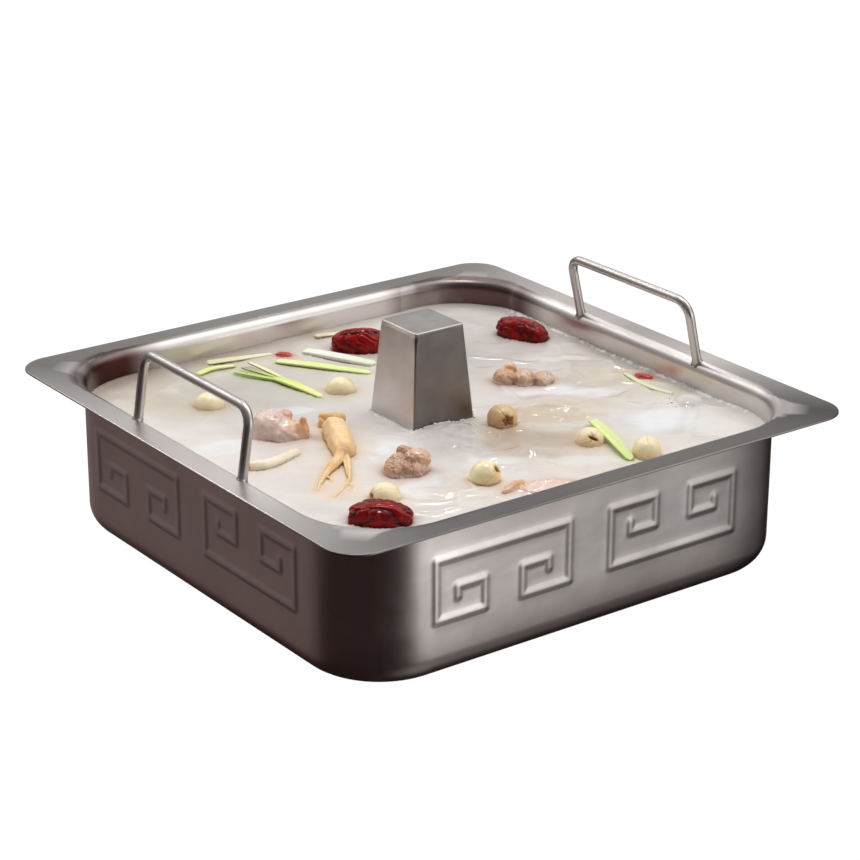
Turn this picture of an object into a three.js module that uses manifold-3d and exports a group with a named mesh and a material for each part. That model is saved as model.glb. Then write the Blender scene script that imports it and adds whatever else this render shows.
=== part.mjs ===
// Square stainless hot pot with a closed square chimney in the middle, two bent rod
// handles, key-pattern ridges pressed out of its sides, and a milky chicken broth with
// red dates, lotus seeds, chicken, ginseng root, scallion and goji.
// Millimetres, +Z up. Origin: middle of the pan's flat underside.
import * as THREE from "three";
import { mergeVertices } from "three/addons/utils/BufferGeometryUtils.js";
import Module from "manifold-3d";

const wasm = await Module();
wasm.setup();

// ---------------------------------------------------------------- driving dimensions
const SHEET = 1.2; // sheet thickness of the pan and chimney
const PAN_H = 87.5; // underside of the floor to the top of the rim
const RIM_HALF = 160; // rim is 320 square
const RIM_CORNER_R = 18; // plan radius of the rim's corners
const BODY_HALF = 144; // outside of the wall
const BODY_CORNER_R = 45; // plan radius of the wall's corners
const FLOOR_FILLET = 15; // wall to floor, outside
const RIM_FILLET = 6.2; // inner wall rolling over into the flat rim
const CORNER_STEPS = 5;

const BROTH_Z = 72; // level of the broth
const GAP = 0.3; // clearance between neighbouring pieces

const CHIMNEY_X = -0.7, CHIMNEY_Y = 0.5;
const CHIMNEY_TOP_Z = 125; // flat top
const CHIMNEY_TOP_HALF = 15.6;
const CHIMNEY_GROW = 0.083; // half-size gained per mm downwards
const CHIMNEY_EDGE_R = 1.2;

const ROD_R = 2.6; // handle rod
const HANDLE_SPAN = 100; // between the two feet
const HANDLE_FOOT_X = 146;
const HANDLE_RISE = 34.9; // rim to the middle of the top bar
const HANDLE_BEND_R = 9;

const FRET_HALF_W = 40.8; // half-width of one key motif, on the ridge's middle line
const FRET_H = 31.5; // height of one motif
const FRET_TOP_Z = 64.6;
const FRET_INNER_X = 11.5; // inner upright of each spiral
const FRET_INNER_V = 15.8; // depth of the inner bar below the linking bar
const FRET_TIP_X = 28; // where the inner bar ends
const FRET_HOOK = 5.5; // short hook at its end
const FRET_RAISE = 1.1;
const FRET_SHIFT = -3; // both motifs sit a little left of the wall's middle
const FRET_PITCH = 108; // between the two motifs

const VIEW_YAW = (-36.4 * Math.PI) / 180; // most garnish lies roughly along this line

// ---------------------------------------------------------------- solids
function toSolid(geometry) {
  const g = new THREE.BufferGeometry().setAttribute(
    "position",
    geometry.getAttribute("position").clone(),
  );
  if (geometry.index) g.setIndex(geometry.index.clone());
  const m = mergeVertices(g, 1e-4);
  const tris = Array.from(m.index.array);
  const keep = [];
  for (let i = 0; i < tris.length; i += 3) {
    const [a, b, c] = [tris[i], tris[i + 1], tris[i + 2]];
    if (a !== b && b !== c && a !== c) keep.push(a, b, c);
  }
  return new wasm.Manifold(
    new wasm.Mesh({
      numProp: 3,
      vertProperties: new Float32Array(m.attributes.position.array),
      triVerts: new Uint32Array(keep),
    }),
  );
}

function fromSolid(solid) {
  const m = solid.getMesh();
  const g = new THREE.BufferGeometry();
  const v = new Float32Array(m.numVert * 3);
  for (let i = 0; i < m.numVert; i++)
    v.set(m.vertProperties.subarray(i * m.numProp, i * m.numProp + 3), i * 3);
  g.setAttribute("position", new THREE.BufferAttribute(v, 3));
  g.setIndex(new THREE.BufferAttribute(new Uint32Array(m.triVerts), 1));
  const flat = g.toNonIndexed();
  flat.computeVertexNormals();
  return flat;
}

const join = (list) => list.reduce((a, b) => a.add(b));

// Points of a rounded square, counter-clockwise seen from above.
function roundedSquare(half, r, steps) {
  const pts = [];
  for (let k = 0; k < 4; k++)
    for (let i = 0; i <= steps; i++) {
      const t = (Math.PI / 2) * (k + i / steps);
      const cx = (half - r) * (k === 0 || k === 3 ? 1 : -1);
      const cy = (half - r) * (k < 2 ? 1 : -1);
      pts.push([cx + r * Math.cos(t), cy + r * Math.sin(t)]);
    }
  return pts;
}

// A closed skin through stacked rings of equal point count, with a fan over each end.
function skin(rings) {
  const n = rings[0].length;
  const pos = [], idx = [];
  rings.forEach((r) => r.forEach((p) => pos.push(...p)));
  for (let j = 0; j + 1 < rings.length; j++)
    for (let i = 0; i < n; i++) {
      const a = j * n + i, b = j * n + ((i + 1) % n);
      idx.push(a, b, b + n, a, b + n, a + n);
    }
  const fan = (j, flip) => {
    const mid = [0, 1, 2].map(
      (k) => rings[j].reduce((s, p) => s + p[k], 0) / n,
    );
    const m = pos.length / 3;
    pos.push(...mid);
    for (let i = 0; i < n; i++) {
      const a = j * n + i, b = j * n + ((i + 1) % n);
      if (flip) idx.push(m, b, a);
      else idx.push(m, a, b);
    }
  };
  fan(0, true);
  fan(rings.length - 1, false);
  const g = new THREE.BufferGeometry();
  g.setAttribute("position", new THREE.Float32BufferAttribute(pos, 3));
  g.setIndex(idx);
  return g;
}

const ringAt = (half, r, z, steps, x = 0, y = 0) =>
  roundedSquare(half, r, steps).map(([px, py]) => [px + x, py + y, z]);

function arc(n, from, to, f) {
  return Array.from({ length: n + 1 }, (_, i) => f(from + ((to - from) * i) / n));
}

// ---------------------------------------------------------------- pan
function panGeometry() {
  const inner = BODY_HALF - SHEET;
  const shift = BODY_HALF - BODY_CORNER_R; // wall radius = half - shift
  const at = (half, z) => ringAt(half, half - shift, z, CORNER_STEPS);
  const H = PAN_H, R = RIM_FILLET, F = FLOOR_FILLET, f = F - SHEET;
  const rings = [
    ...arc(5, 0, Math.PI / 2, (t) =>
      at(BODY_HALF - F + F * Math.sin(t), F - F * Math.cos(t)),
    ),
    ...arc(4, 0, Math.PI / 2, (t) =>
      at(inner + R - (R - SHEET) * Math.cos(t), H - R + (R - SHEET) * Math.sin(t)),
    ),
    ringAt(RIM_HALF, RIM_CORNER_R, H - SHEET, CORNER_STEPS),
    ringAt(RIM_HALF, RIM_CORNER_R, H, CORNER_STEPS),
    ...arc(4, Math.PI / 2, 0, (t) =>
      at(inner + R - R * Math.cos(t), H - R + R * Math.sin(t)),
    ),
    ...arc(3, Math.PI / 2, 0, (t) =>
      at(inner - f + f * Math.sin(t), F - f * Math.cos(t)),
    ),
  ];
  return skin(rings);
}

// Middle line of one key motif: two spirals facing each other, linked by one long bar.
// u runs along the wall, v downwards from the linking bar.
function fretLine() {
  const half = (s) => [
    [s * FRET_TIP_X, FRET_INNER_V + FRET_HOOK],
    [s * FRET_TIP_X, FRET_INNER_V],
    [s * FRET_INNER_X, FRET_INNER_V],
    [s * FRET_INNER_X, FRET_H],
    [s * FRET_HALF_W, FRET_H],
    [s * FRET_HALF_W, 0],
  ];
  return [...half(-1), ...half(1).reverse()];
}

// Outline at a given half-width around a line that turns only by right angles.
function offsetLine(line, w) {
  const side = (pts) =>
    pts.map((p, i) => {
      const a = pts[Math.max(0, i - 1)], b = pts[Math.min(pts.length - 1, i + 1)];
      const d1 = i > 0 ? unit(a, p) : unit(p, b);
      const d2 = i < pts.length - 1 ? unit(p, b) : d1;
      const n1 = [d1[1], -d1[0]], n2 = [d2[1], -d2[0]];
      const end = i === 0 ? [-d1[0] * w, -d1[1] * w]
        : i === pts.length - 1 ? [d1[0] * w, d1[1] * w] : [0, 0];
      const turn = n1[0] !== n2[0] || n1[1] !== n2[1];
      return turn
        ? [p[0] + (n1[0] + n2[0]) * w, p[1] + (n1[1] + n2[1]) * w]
        : [p[0] + n1[0] * w + end[0], p[1] + n1[1] * w + end[1]];
    });
  const unit = (a, b) => {
    const l = Math.hypot(b[0] - a[0], b[1] - a[1]);
    return [Math.round((b[0] - a[0]) / l), Math.round((b[1] - a[1]) / l)];
  };
  return [...side(line), ...side([...line].reverse())];
}

// One raised motif; depth 0 is the wall's outer face.
function fretGeometry(flip) {
  const levels = [
    [3.1, -0.5],
    [2.3, FRET_RAISE * 0.6],
    [1.1, FRET_RAISE],
  ];
  let line = fretLine().map(([u, v]) => [u, flip ? v - FRET_H : -v]);
  let outlines = levels.map(([w]) => offsetLine(line, w));
  if (THREE.ShapeUtils.area(outlines[0].map(([x, y]) => new THREE.Vector2(x, y))) < 0)
    outlines = outlines.map((o) => [...o].reverse());
  const n = outlines[0].length;
  const pos = [], idx = [];
  outlines.forEach((o, j) => o.forEach(([x, y]) => pos.push(x, y, levels[j][1])));
  for (let j = 0; j + 1 < levels.length; j++)
    for (let i = 0; i < n; i++) {
      const a = j * n + i, b = j * n + ((i + 1) % n);
      idx.push(a, b, b + n, a, b + n, a + n);
    }
  const cap = (j, reverse) => {
    const flat = outlines[j].map(([x, y]) => new THREE.Vector2(x, y));
    THREE.ShapeUtils.triangulateShape(flat, []).forEach(([a, b, c]) =>
      reverse
        ? idx.push(j * n + c, j * n + b, j * n + a)
        : idx.push(j * n + a, j * n + b, j * n + c),
    );
  };
  cap(0, true);
  cap(levels.length - 1, false);
  const g = new THREE.BufferGeometry();
  g.setAttribute("position", new THREE.Float32BufferAttribute(pos, 3));
  g.setIndex(idx);
  return g;
}

function panSolid() {
  const parts = [toSolid(panGeometry())];
  for (let side = 0; side < 4; side++)
    for (const k of [-1, 1]) {
      // local x along the wall (left to right seen from outside), local y up, local z out
      const m = new THREE.Matrix4()
        .makeRotationZ((side * Math.PI) / 2)
        .multiply(new THREE.Matrix4().makeTranslation(
          FRET_SHIFT + (k * FRET_PITCH) / 2, -BODY_HALF, k < 0 ? FRET_TOP_Z : FRET_TOP_Z))
        .multiply(new THREE.Matrix4().makeRotationX(Math.PI / 2));
      parts.push(toSolid(fretGeometry(k > 0).applyMatrix4(m)));
    }
  return join(parts);
}

// ---------------------------------------------------------------- swept rods and strips
// Rings of an ellipse (width across, thickness up) along a line of 3-D points.
// stations: [x, y, z, width, thickness]; the ring's width lies across the path.
function sweep(stations, sides, grow = 0, across = null) {
  const square = grow ? Math.SQRT2 : 1; // the room in the broth is a square channel
  if (grow) sides = 4;
  const P = stations.map((s) => new THREE.Vector3(s[0], s[1], s[2]));
  const rings = [];
  P.forEach((p, i) => {
    const a = P[Math.max(0, i - 1)], b = P[Math.min(P.length - 1, i + 1)];
    const d = b.clone().sub(a).normalize();
    const side = across
      ? across.clone().addScaledVector(d, -across.dot(d)).normalize()
      : new THREE.Vector3().crossVectors(d, new THREE.Vector3(0, 0, 1)).normalize();
    const up = new THREE.Vector3().crossVectors(side, d);
    const w = square * (stations[i][3] / 2 + grow), t = square * (stations[i][4] / 2 + grow);
    const c = p.clone();
    if (i === 0) c.addScaledVector(d, -grow);
    if (i === P.length - 1) c.addScaledVector(d, grow);
    rings.push(
      Array.from({ length: sides }, (_, k) => {
        const q = (2 * Math.PI * (k + 0.5)) / sides;
        const v = c.clone()
          .addScaledVector(side, w * Math.cos(q))
          .addScaledVector(up, t * Math.sin(q));
        return [v.x, v.y, v.z];
      }),
    );
  });
  return toSolid(skinFacing(rings));
}

// Same skin as above, turned the right way round whichever way the rings run.
function skinFacing(rings) {
  const g = skin(rings);
  const p = g.getAttribute("position"), ix = g.index.array;
  let vol = 0;
  const a = new THREE.Vector3(), b = new THREE.Vector3(), c = new THREE.Vector3();
  for (let i = 0; i < ix.length; i += 3) {
    a.fromBufferAttribute(p, ix[i]);
    b.fromBufferAttribute(p, ix[i + 1]);
    c.fromBufferAttribute(p, ix[i + 2]);
    vol += a.dot(b.cross(c));
  }
  if (vol < 0)
    for (let i = 0; i < ix.length; i += 3) [ix[i + 1], ix[i + 2]] = [ix[i + 2], ix[i + 1]];
  return g;
}

// A strip that follows a smooth curve through a few places.
function strip(places, steps, sides, grow = 0) {
  const curve = new THREE.CatmullRomCurve3(
    places.map((s) => new THREE.Vector3(s[0], s[1], s[2])));
  const st = [];
  for (let i = 0; i <= steps; i++) {
    const t = i / steps, v = curve.getPoint(t);
    const f = t * (places.length - 1), j = Math.min(places.length - 2, Math.floor(f)), k = f - j;
    st.push([v.x, v.y, v.z,
      places[j][3] * (1 - k) + places[j + 1][3] * k,
      places[j][4] * (1 - k) + places[j + 1][4] * k]);
  }
  return sweep(st, sides, grow);
}

// ---------------------------------------------------------------- handles
// dir: -1 for the handle on -X, +1 for the one on +X. lean: how far the top bar comes in.
function handleSolid(dir, midY, lean) {
  const z0 = PAN_H + GAP, z1 = PAN_H + HANDLE_RISE, r = HANDLE_BEND_R;
  const half = HANDLE_SPAN / 2;
  const flat = [[-half, z0]];
  arc(4, 0, Math.PI / 2, (t) =>
    flat.push([-half + r - r * Math.cos(t), z1 - r + r * Math.sin(t)]));
  arc(4, Math.PI / 2, 0, (t) =>
    flat.push([half - r + r * Math.cos(t), z1 - r + r * Math.sin(t)]));
  flat.push([half, z0]);
  const st = flat.map(([y, z]) => [
    dir * (HANDLE_FOOT_X - (lean * (z - z0)) / (z1 - z0)), midY + y, z,
    2 * ROD_R, 2 * ROD_R]);
  return sweep(st, 8, 0, new THREE.Vector3(1, 0, 0));
}

// ---------------------------------------------------------------- chimney
function chimneyRing(z, inset) {
  const half = CHIMNEY_TOP_HALF + CHIMNEY_GROW * (CHIMNEY_TOP_Z - z) - inset;
  return ringAt(half, Math.max(0.3, CHIMNEY_EDGE_R - inset), z, 2, CHIMNEY_X, CHIMNEY_Y);
}

function chimneySolid() {
  const foot = SHEET + GAP, top = CHIMNEY_TOP_Z;
  return toSolid(skinFacing([
    chimneyRing(top - SHEET, SHEET),
    chimneyRing(foot, SHEET),
    chimneyRing(foot, 0),
    chimneyRing(top - 0.8, 0),
    chimneyRing(top, 0.7),
  ]));
}

// The space the chimney takes out of the broth.
const chimneyRoom = () =>
  toSolid(skinFacing([chimneyRing(0, -GAP * 1.2), chimneyRing(CHIMNEY_TOP_Z, -GAP * 1.2)]));

// ---------------------------------------------------------------- broth
function brothBody() {
  const half = BODY_HALF - SHEET - GAP;
  const shift = BODY_HALF - BODY_CORNER_R;
  const f = FLOOR_FILLET - SHEET - GAP;
  const at = (h, z) => ringAt(h, h - shift, z, CORNER_STEPS);
  return toSolid(skin([
    ...arc(3, 0, Math.PI / 2, (t) => at(half - f + f * Math.sin(t), FLOOR_FILLET - f * Math.cos(t))),
    at(half, BROTH_Z),
  ]));
}

// A low dome on the surface: radius at the surface and height.
function dome(x, y, radius, height) {
  const R = (radius * radius + height * height) / (2 * height);
  const n = 14, steps = 5, rings = [];
  const g = new THREE.SphereGeometry(R, n, steps, 0, 2 * Math.PI, 0, Math.asin(Math.min(1, radius / R)) * 1.15);
  const p = g.getAttribute("position");
  // its rows of points, from the rim up, closed by a fan at each end
  for (let j = steps; j >= 1; j--) {
    const ring = [];
    for (let i = 0; i < n; i++) {
      const k = j * (n + 1) + i;
      ring.push([x + p.getX(k), y - p.getZ(k), BROTH_Z + height - R + p.getY(k)]);
    }
    rings.push(ring);
  }
  return toSolid(skinFacing(rings));
}

// ---------------------------------------------------------------- toppings
// A rounded lump: unit directions scaled by the half-sizes, flattened by the exponent n,
// with folds and bumps that are functions of the direction.
function lump({ at, half, yaw = VIEW_YAW, pitch = 0, roll = 0, n = 2, detail = 3, folds = [], bumps = [] }, grow = 0) {
  // the room it needs in the broth is a simpler, slightly larger lump
  let swell = 0;
  if (grow) {
    swell = (detail > 1 ? 0.055 : 0.02) + folds.reduce((a, f) => a + f[1], 0);
    folds = [];
    detail = 1;
  }
  const g = new THREE.IcosahedronGeometry(1, detail);
  const p = g.getAttribute("position");
  const v = new THREE.Vector3();
  for (let i = 0; i < p.count; i++) {
    v.fromBufferAttribute(p, i).normalize();
    const round = (x) => Math.round(x * 1e5) / 1e5;
    const x = round(v.x), y = round(v.y), z = round(v.z);
    const s = Math.pow(
      Math.pow(Math.abs(x), n) + Math.pow(Math.abs(y), n) + Math.pow(Math.abs(z), n), -1 / n);
    let k = 1 + swell;
    const phi = Math.atan2(z, y), ring = Math.sqrt(Math.max(0, 1 - x * x));
    for (const [count, amount, phase, twist] of folds)
      k += amount * ring * Math.sin(count * phi + phase + twist * x);
    for (const [bx, by, bz, amount, width] of bumps) {
      const l = Math.hypot(bx, by, bz);
      const c = (x * bx + y * by + z * bz) / l;
      k += amount * Math.exp(-(1 - c) / (width * width));
    }
    v.set(half[0] * x, half[1] * y, half[2] * z).multiplyScalar(s * k);
    if (grow) v.addScaledVector(new THREE.Vector3(x / half[0], y / half[1], z / half[2]).normalize(), grow);
    p.setXYZ(i, v.x, v.y, v.z);
  }
  g.applyMatrix4(new THREE.Matrix4().makeRotationFromEuler(new THREE.Euler(roll, pitch, yaw, "ZYX")));
  g.translate(at[0], at[1], at[2]);
  return toSolid(g);
}

// Local frame of a piece made of several lumps: right, away, up -> world
function placed(at, yaw, offset) {
  const c = Math.cos(yaw), s = Math.sin(yaw);
  return [at[0] + c * offset[0] - s * offset[1], at[1] + s * offset[0] + c * offset[1], at[2] + offset[2]];
}

const deg = (a) => (a * Math.PI) / 180;
const Z = BROTH_Z;

const date = (at, yaw, pitch, phase) => (grow) =>
  lump({ at, half: [16.8, 9.6, 9.3], yaw, pitch, n: 2.35, detail: 2,
    folds: [[3, 0.045, phase, 1.1], [5, 0.03, phase * 2, -1.6]],
    bumps: [[1, 0, 0, -0.1, 0.25], [-1, 0, 0, -0.1, 0.25]] }, grow);

const seed = (at, yaw, pitch, eye) => (grow) =>
  lump({ at, half: [8.5, eye === "round" ? 8.2 : 7.6, 7.5], yaw, pitch, detail: 2,
    bumps: [[1, 0, 0, eye ? -0.1 : 0.03, 0.28]] }, grow);

const lumps = (list) => (grow) => join(list.map((l) => lump(l, grow)));

function chicken(at, list) {
  return lumps(list.map(([offset, half, turn, extra = {}]) => ({
    at: placed(at, VIEW_YAW, offset), half, yaw: VIEW_YAW + turn, detail: 1, n: 2.2, ...extra })));
}

function ginseng(grow) {
  const body = strip([
    [-49.6, 15.0, Z + 3.2, 9.5, 9],
    [-51.8, 9.0, Z + 3.2, 13.4, 12.6],
    [-57.8, -4.5, Z + 3.0, 13.4, 12.6],
    [-63.6, -16.5, Z + 2.6, 11.6, 11],
    [-68.4, -25.5, Z + 2.0, 7, 7],
  ], 7, 8, grow);
  const left = strip([
    [-65.5, -19, Z + 2.6, 8, 8],
    [-76, -28, Z + 1.8, 6.6, 6.4],
    [-88.5, -36.5, Z + 1.0, 4.4, 4.2],
    [-101, -49, Z + 0.4, 2.4, 2.2],
    [-107.5, -57, Z - 0.2, 1.4, 1.4],
  ], 6, 6, grow);
  const right = strip([
    [-66.5, -21, Z + 2.0, 6, 6],
    [-72, -34, Z + 1.6, 4.4, 4.2],
    [-78.5, -44, Z + 0.9, 3, 2.8],
    [-85, -53, Z + 0.5, 2, 2],
    [-99, -65, Z - 0.2, 1.3, 1.3],
  ], 6, 6, grow);
  const head = lump({ at: [-48.2, 16.8, Z + 3.6], half: [5.4, 4.2, 3.8], yaw: VIEW_YAW + deg(8),
    detail: 1, bumps: [[-1, 0, 0, 0.1, 0.5]] }, grow);
  const collar = lump({ at: [-53.0, 18.8, Z + 3.4], half: [3.2, 2.8, 3.0], yaw: VIEW_YAW, detail: 1 }, grow);
  return join([body, left, right, head, collar]);
}

function scallionFan(grow) {
  return join([
    strip([[-48.7, 112.7, Z + 0.9, 2.6, 1.4], [-42.0, 100, Z + 0.9, 2.6, 1.5], [-34.4, 85.4, Z + 0.8, 3.2, 1.8]], 3, 5, grow),
    strip([[-42.2, 115.2, Z + 1.6, 2.4, 1.4], [-38.6, 102, Z + 1.5, 2.6, 1.5], [-33.2, 84.6, Z + 1.0, 3.2, 1.8]], 3, 5, grow),
    strip([[-36.0, 118.1, Z + 2.4, 2.6, 1.4], [-34.6, 104, Z + 2.1, 2.8, 1.5], [-32.6, 84.4, Z + 1.1, 3.2, 1.8]], 3, 5, grow),
    strip([[-35.4, 89, Z + 0.9, 4.8, 2.2], [-33.0, 76, Z + 0.8, 5.2, 2.4], [-31.2, 64, Z + 0.5, 4.2, 2.2], [-30.0, 53.5, Z + 0.2, 3.0, 1.6]], 6, 8, grow),
  ]);
}

const ribbon = (places, steps = 5, sides = 6) => (grow) => strip(places, steps, sides, grow);

const TOPPINGS = {
  date_front: date([-100.6, -101.9, Z + 1.2], VIEW_YAW, deg(2), 0.4),
  date_back_right: date([119.8, 67.2, Z + 1.8], VIEW_YAW - deg(32), deg(7), 1.7),
  date_back_left: date([31.6, 105.5, Z + 2.2], VIEW_YAW + deg(4), deg(-2), 2.9),

  lotus_seed_1: seed([-86.3, 77.9, Z + 0.2], VIEW_YAW, 0, false),
  lotus_seed_2: seed([-15.3, 55.8, Z + 0.2], VIEW_YAW, 0, false),
  lotus_seed_3: seed([-83.0, -81.2, Z + 0.6], VIEW_YAW + deg(180), deg(0), true),
  lotus_seed_4: seed([-29.2, -92.0, Z + 3], VIEW_YAW - deg(20), deg(-5), true),
  lotus_seed_5: seed([25.2, -36.0, Z + 3.6], VIEW_YAW - deg(80), deg(14), "round"),
  lotus_seed_6: seed([47.2, -82.2, Z + 0.2], VIEW_YAW - deg(60), deg(-30), true),
  lotus_seed_7: seed([58.9, -113.7, Z + 2.5], VIEW_YAW, 0, false),

  chicken_skin: chicken([-76.6, 21.6, Z], [
    [[-6, -1, 1.9], [11.5, 12, 12.4], 0, { detail: 2, bumps: [[-0.3, 0.4, 1, 0.12, 0.5]] }],
    [[3, -4, 1.5], [11, 10, 9], deg(15), {}],
    [[11.5, -3.5, 3.6], [5.2, 5.2, 8.4], deg(10), { bumps: [[0.2, 0, 1, 0.12, 0.4]] }],
    [[1.5, 7, 8], [5.5, 4.5, 4.5], 0, { detail: 1 }],
  ]),
  chicken_lobed: chicken([-52.2, -57.1, Z], [
    [[-2.5, -2, 0.5], [10, 11, 8.8], 0, { bumps: [[-0.6, -0.6, 0.4, 0.1, 0.5]] }],
    [[4.5, 0.5, 5.4], [7.8, 6.4, 5.4], deg(8), {}],
    [[-1.0, 5, 8.4], [4.6, 3.6, 4.2], deg(-20), { detail: 1 }],
  ]),
  chicken_back: chicken([75.1, 8.7, Z], [
    [[-10.5, 0, 0.8], [6.6, 8, 6.4], deg(20), {}],
    [[0, -1, 0.8], [7, 8.6, 6.6], 0, {}],
    [[10.5, -0.5, 0.6], [7, 8, 5.8], deg(-12), {}],
    [[-8, 3.5, 5.6], [4.4, 3.6, 4], 0, { detail: 1 }],
  ]),
  chicken_front: chicken([-11.6, -114.4, Z], [
    [[4, 0, -1.6], [16, 9, 4.6], deg(14), {}],
    [[-13.5, -1.5, 0.2], [9.8, 3.2, 3.0], deg(56), { detail: 1 }],
  ]),

  ginseng_root: ginseng,

  scallion_fan: scallionFan,
  scallion_ribbon: ribbon([[-19.6, 114.6, Z + 0.5, 5.2, 1.8], [-5, 93, Z + 0.7, 5.6, 2], [13.2, 67.6, Z + 0.4, 4.2, 1.6]]),
  scallion_white: ribbon([[2.6, 119.5, Z + 0.6, 7.2, 3.4], [12, 99, Z + 0.9, 7.6, 3.6], [23.0, 77.8, Z + 0.5, 6.6, 3]]),
  scallion_leaf_back: ribbon([[-52.6, 134.6, Z + 0.7, 9, 1.6], [-36, 130.2, Z + 0.8, 8, 1.6], [-13.6, 127.0, Z + 0.5, 5, 1.4]]),
  scallion_strip_left: ribbon([[-66.6, 121.4, Z + 0.6, 4.4, 1.4], [-55, 124.0, Z + 0.8, 4.4, 1.5], [-42.0, 122.0, Z + 0.6, 3.6, 1.4]]),
  scallion_strip_wall: ribbon([[21.6, 136.4, Z + 0.5, 5, 1.4], [39.0, 131.2, Z + 0.5, 5, 1.4]], 3),
  scallion_leaf_right: ribbon([[64.3, -62.8, Z + 1.4, 5.6, 2], [55.6, -89, Z + 1.9, 5.2, 2.2], [46.4, -116, Z + 0.6, 4.2, 1.8]]),
  scallion_strip_right: ribbon([[127.8, -14.4, Z + 0.2, 2.6, 1.4], [125.2, -31.0, Z + 0.2, 3.6, 1.5], [125.4, -43.0, Z + 0.2, 4.0, 1.5], [128.6, -55.0, Z + 0.1, 3.4, 1.4]]),
  shallot_stalk: ribbon([[-118.0, -9.6, Z + 1.2, 6.2, 5.8], [-113.4, -11.0, Z + 1.3, 6.6, 6.2], [-105.4, -12.4, Z + 1.1, 6.2, 5.6], [-84.0, -6.4, Z + 0.8, 5.2, 4.6]], 8, 8),

  goji_left: (grow) => lump({ at: [-9.8, 121.0, Z + 0.4], half: [5.4, 2.7, 1.9], yaw: VIEW_YAW - deg(8), detail: 1, n: 2.1 }, grow),
  goji_right: (grow) => lump({ at: [132.6, -26.0, Z + 0.4], half: [6.0, 2.7, 2.2], yaw: VIEW_YAW - deg(34), detail: 1, n: 2.1 }, grow),
};

function brothSolid() {
  const filled = join([
    brothBody(),
    dome(-6, -37.5, 23, 5.2),
    dome(127.4, -69.4, 8, 3.6),
  ]);
  const room = join([chimneyRoom(), ...Object.values(TOPPINGS).map((make) => make(GAP * 1.25))]);
  const cut = filled.subtract(room);
  // the pocket under a topping that nearly leaves the broth can leave crumbs: keep the body
  return cut.decompose().sort((a, b) => b.volume() - a.volume())[0];
}

// ---------------------------------------------------------------- materials and scene
const material = (color, roughness, metalness) =>
  new THREE.MeshStandardMaterial({ color, roughness, metalness, flatShading: true });
const STEEL = material(0x9a9694, 0.34, 1);
const RED = material(0x6b0a0a, 0.2, 0);
const SEED = material(0xe9dcb8, 0.45, 0);
const MEAT = material(0xcaa48c, 0.45, 0);
const SKIN = material(0xc9a9a0, 0.3, 0);
const ROOT = material(0xdda55f, 0.5, 0);
const GREEN = material(0xb6d57a, 0.4, 0);
const PALE = material(0xe6ead0, 0.4, 0);
const GOJI = material(0xc22a18, 0.35, 0);
const BROTH = material(0xe6e2dc, 0.18, 0);

const hotPot = new THREE.Group();
hotPot.name = "hot_pot";
const put = (name, solid, mat) => {
  const mesh = new THREE.Mesh(fromSolid(solid), mat);
  mesh.name = name;
  hotPot.add(mesh);
};

put("pan", panSolid(), STEEL);
put("handle_left", handleSolid(-1, -0.3, 5.4), STEEL);
put("handle_right", handleSolid(1, -4, 8.4), STEEL);
put("chimney", chimneySolid(), STEEL);
put("broth", brothSolid(), BROTH);
for (const [name, make] of Object.entries(TOPPINGS)) {
  const mat = name.startsWith("date") ? RED
    : name.startsWith("lotus") ? SEED
    : name === "chicken_skin" || name === "chicken_front" ? SKIN
    : name.startsWith("chicken") ? MEAT
    : name.startsWith("ginseng") ? ROOT
    : name.startsWith("goji") ? GOJI
    : name === "scallion_white" || name === "shallot_stalk" || name === "scallion_strip_wall" ? PALE
    : GREEN;
  put(name, make(0), mat);
}

export default hotPot;
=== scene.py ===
"""Looks for a square stainless hot pot with milky chicken broth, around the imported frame.
Millimetres while shapes are made, metres in Blender."""
import math

import bpy
import numpy as np
from mathutils import Matrix, Vector
from mathutils.bvhtree import BVHTree
from mathutils.kdtree import KDTree


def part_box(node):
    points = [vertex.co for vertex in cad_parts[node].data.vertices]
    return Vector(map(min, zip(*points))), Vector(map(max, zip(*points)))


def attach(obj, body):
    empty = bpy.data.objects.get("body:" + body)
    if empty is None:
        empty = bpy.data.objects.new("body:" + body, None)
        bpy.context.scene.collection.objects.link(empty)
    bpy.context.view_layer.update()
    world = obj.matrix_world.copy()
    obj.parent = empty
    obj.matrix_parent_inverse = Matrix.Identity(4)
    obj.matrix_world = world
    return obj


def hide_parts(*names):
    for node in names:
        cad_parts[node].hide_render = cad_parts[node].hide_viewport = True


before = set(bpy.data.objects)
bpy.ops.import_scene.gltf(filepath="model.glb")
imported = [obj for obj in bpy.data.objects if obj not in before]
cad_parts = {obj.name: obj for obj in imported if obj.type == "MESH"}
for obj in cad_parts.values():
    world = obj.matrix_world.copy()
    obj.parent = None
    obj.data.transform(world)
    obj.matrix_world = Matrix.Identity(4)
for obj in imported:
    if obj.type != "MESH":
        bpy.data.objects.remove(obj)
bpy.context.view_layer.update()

MM = 0.001
PI = math.pi


def mm_box(node):
    lo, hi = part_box(node)
    return np.array(lo) * 1000, np.array(hi) * 1000


PAN_LO, PAN_HI = mm_box("pan")
RIM_HALF = (PAN_HI[0] - PAN_LO[0]) / 2
PAN_H = PAN_HI[2]
TOP = mm_box("chimney")[1][2]
LEVEL = 72.0            # broth surface
SHEET = 1.2
BODY = RIM_HALF - 16    # outside of the wall
BODY_R = 45.0
SHIFT = BODY - BODY_R   # where the straight part of a wall ends
YAW = math.radians(-36.4)


# ------------------------------------------------------------------ noise
def _hash(ix, iy, iz, seed):
    h = (ix * 374761393 + iy * 668265263 + iz * 1440662683 + seed * 97531) & 0xFFFFFFFF
    h = ((h ^ (h >> 13)) * 1274126177) & 0xFFFFFFFF
    h = h ^ (h >> 16)
    return h / 2147483647.5 - 1.0


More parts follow.
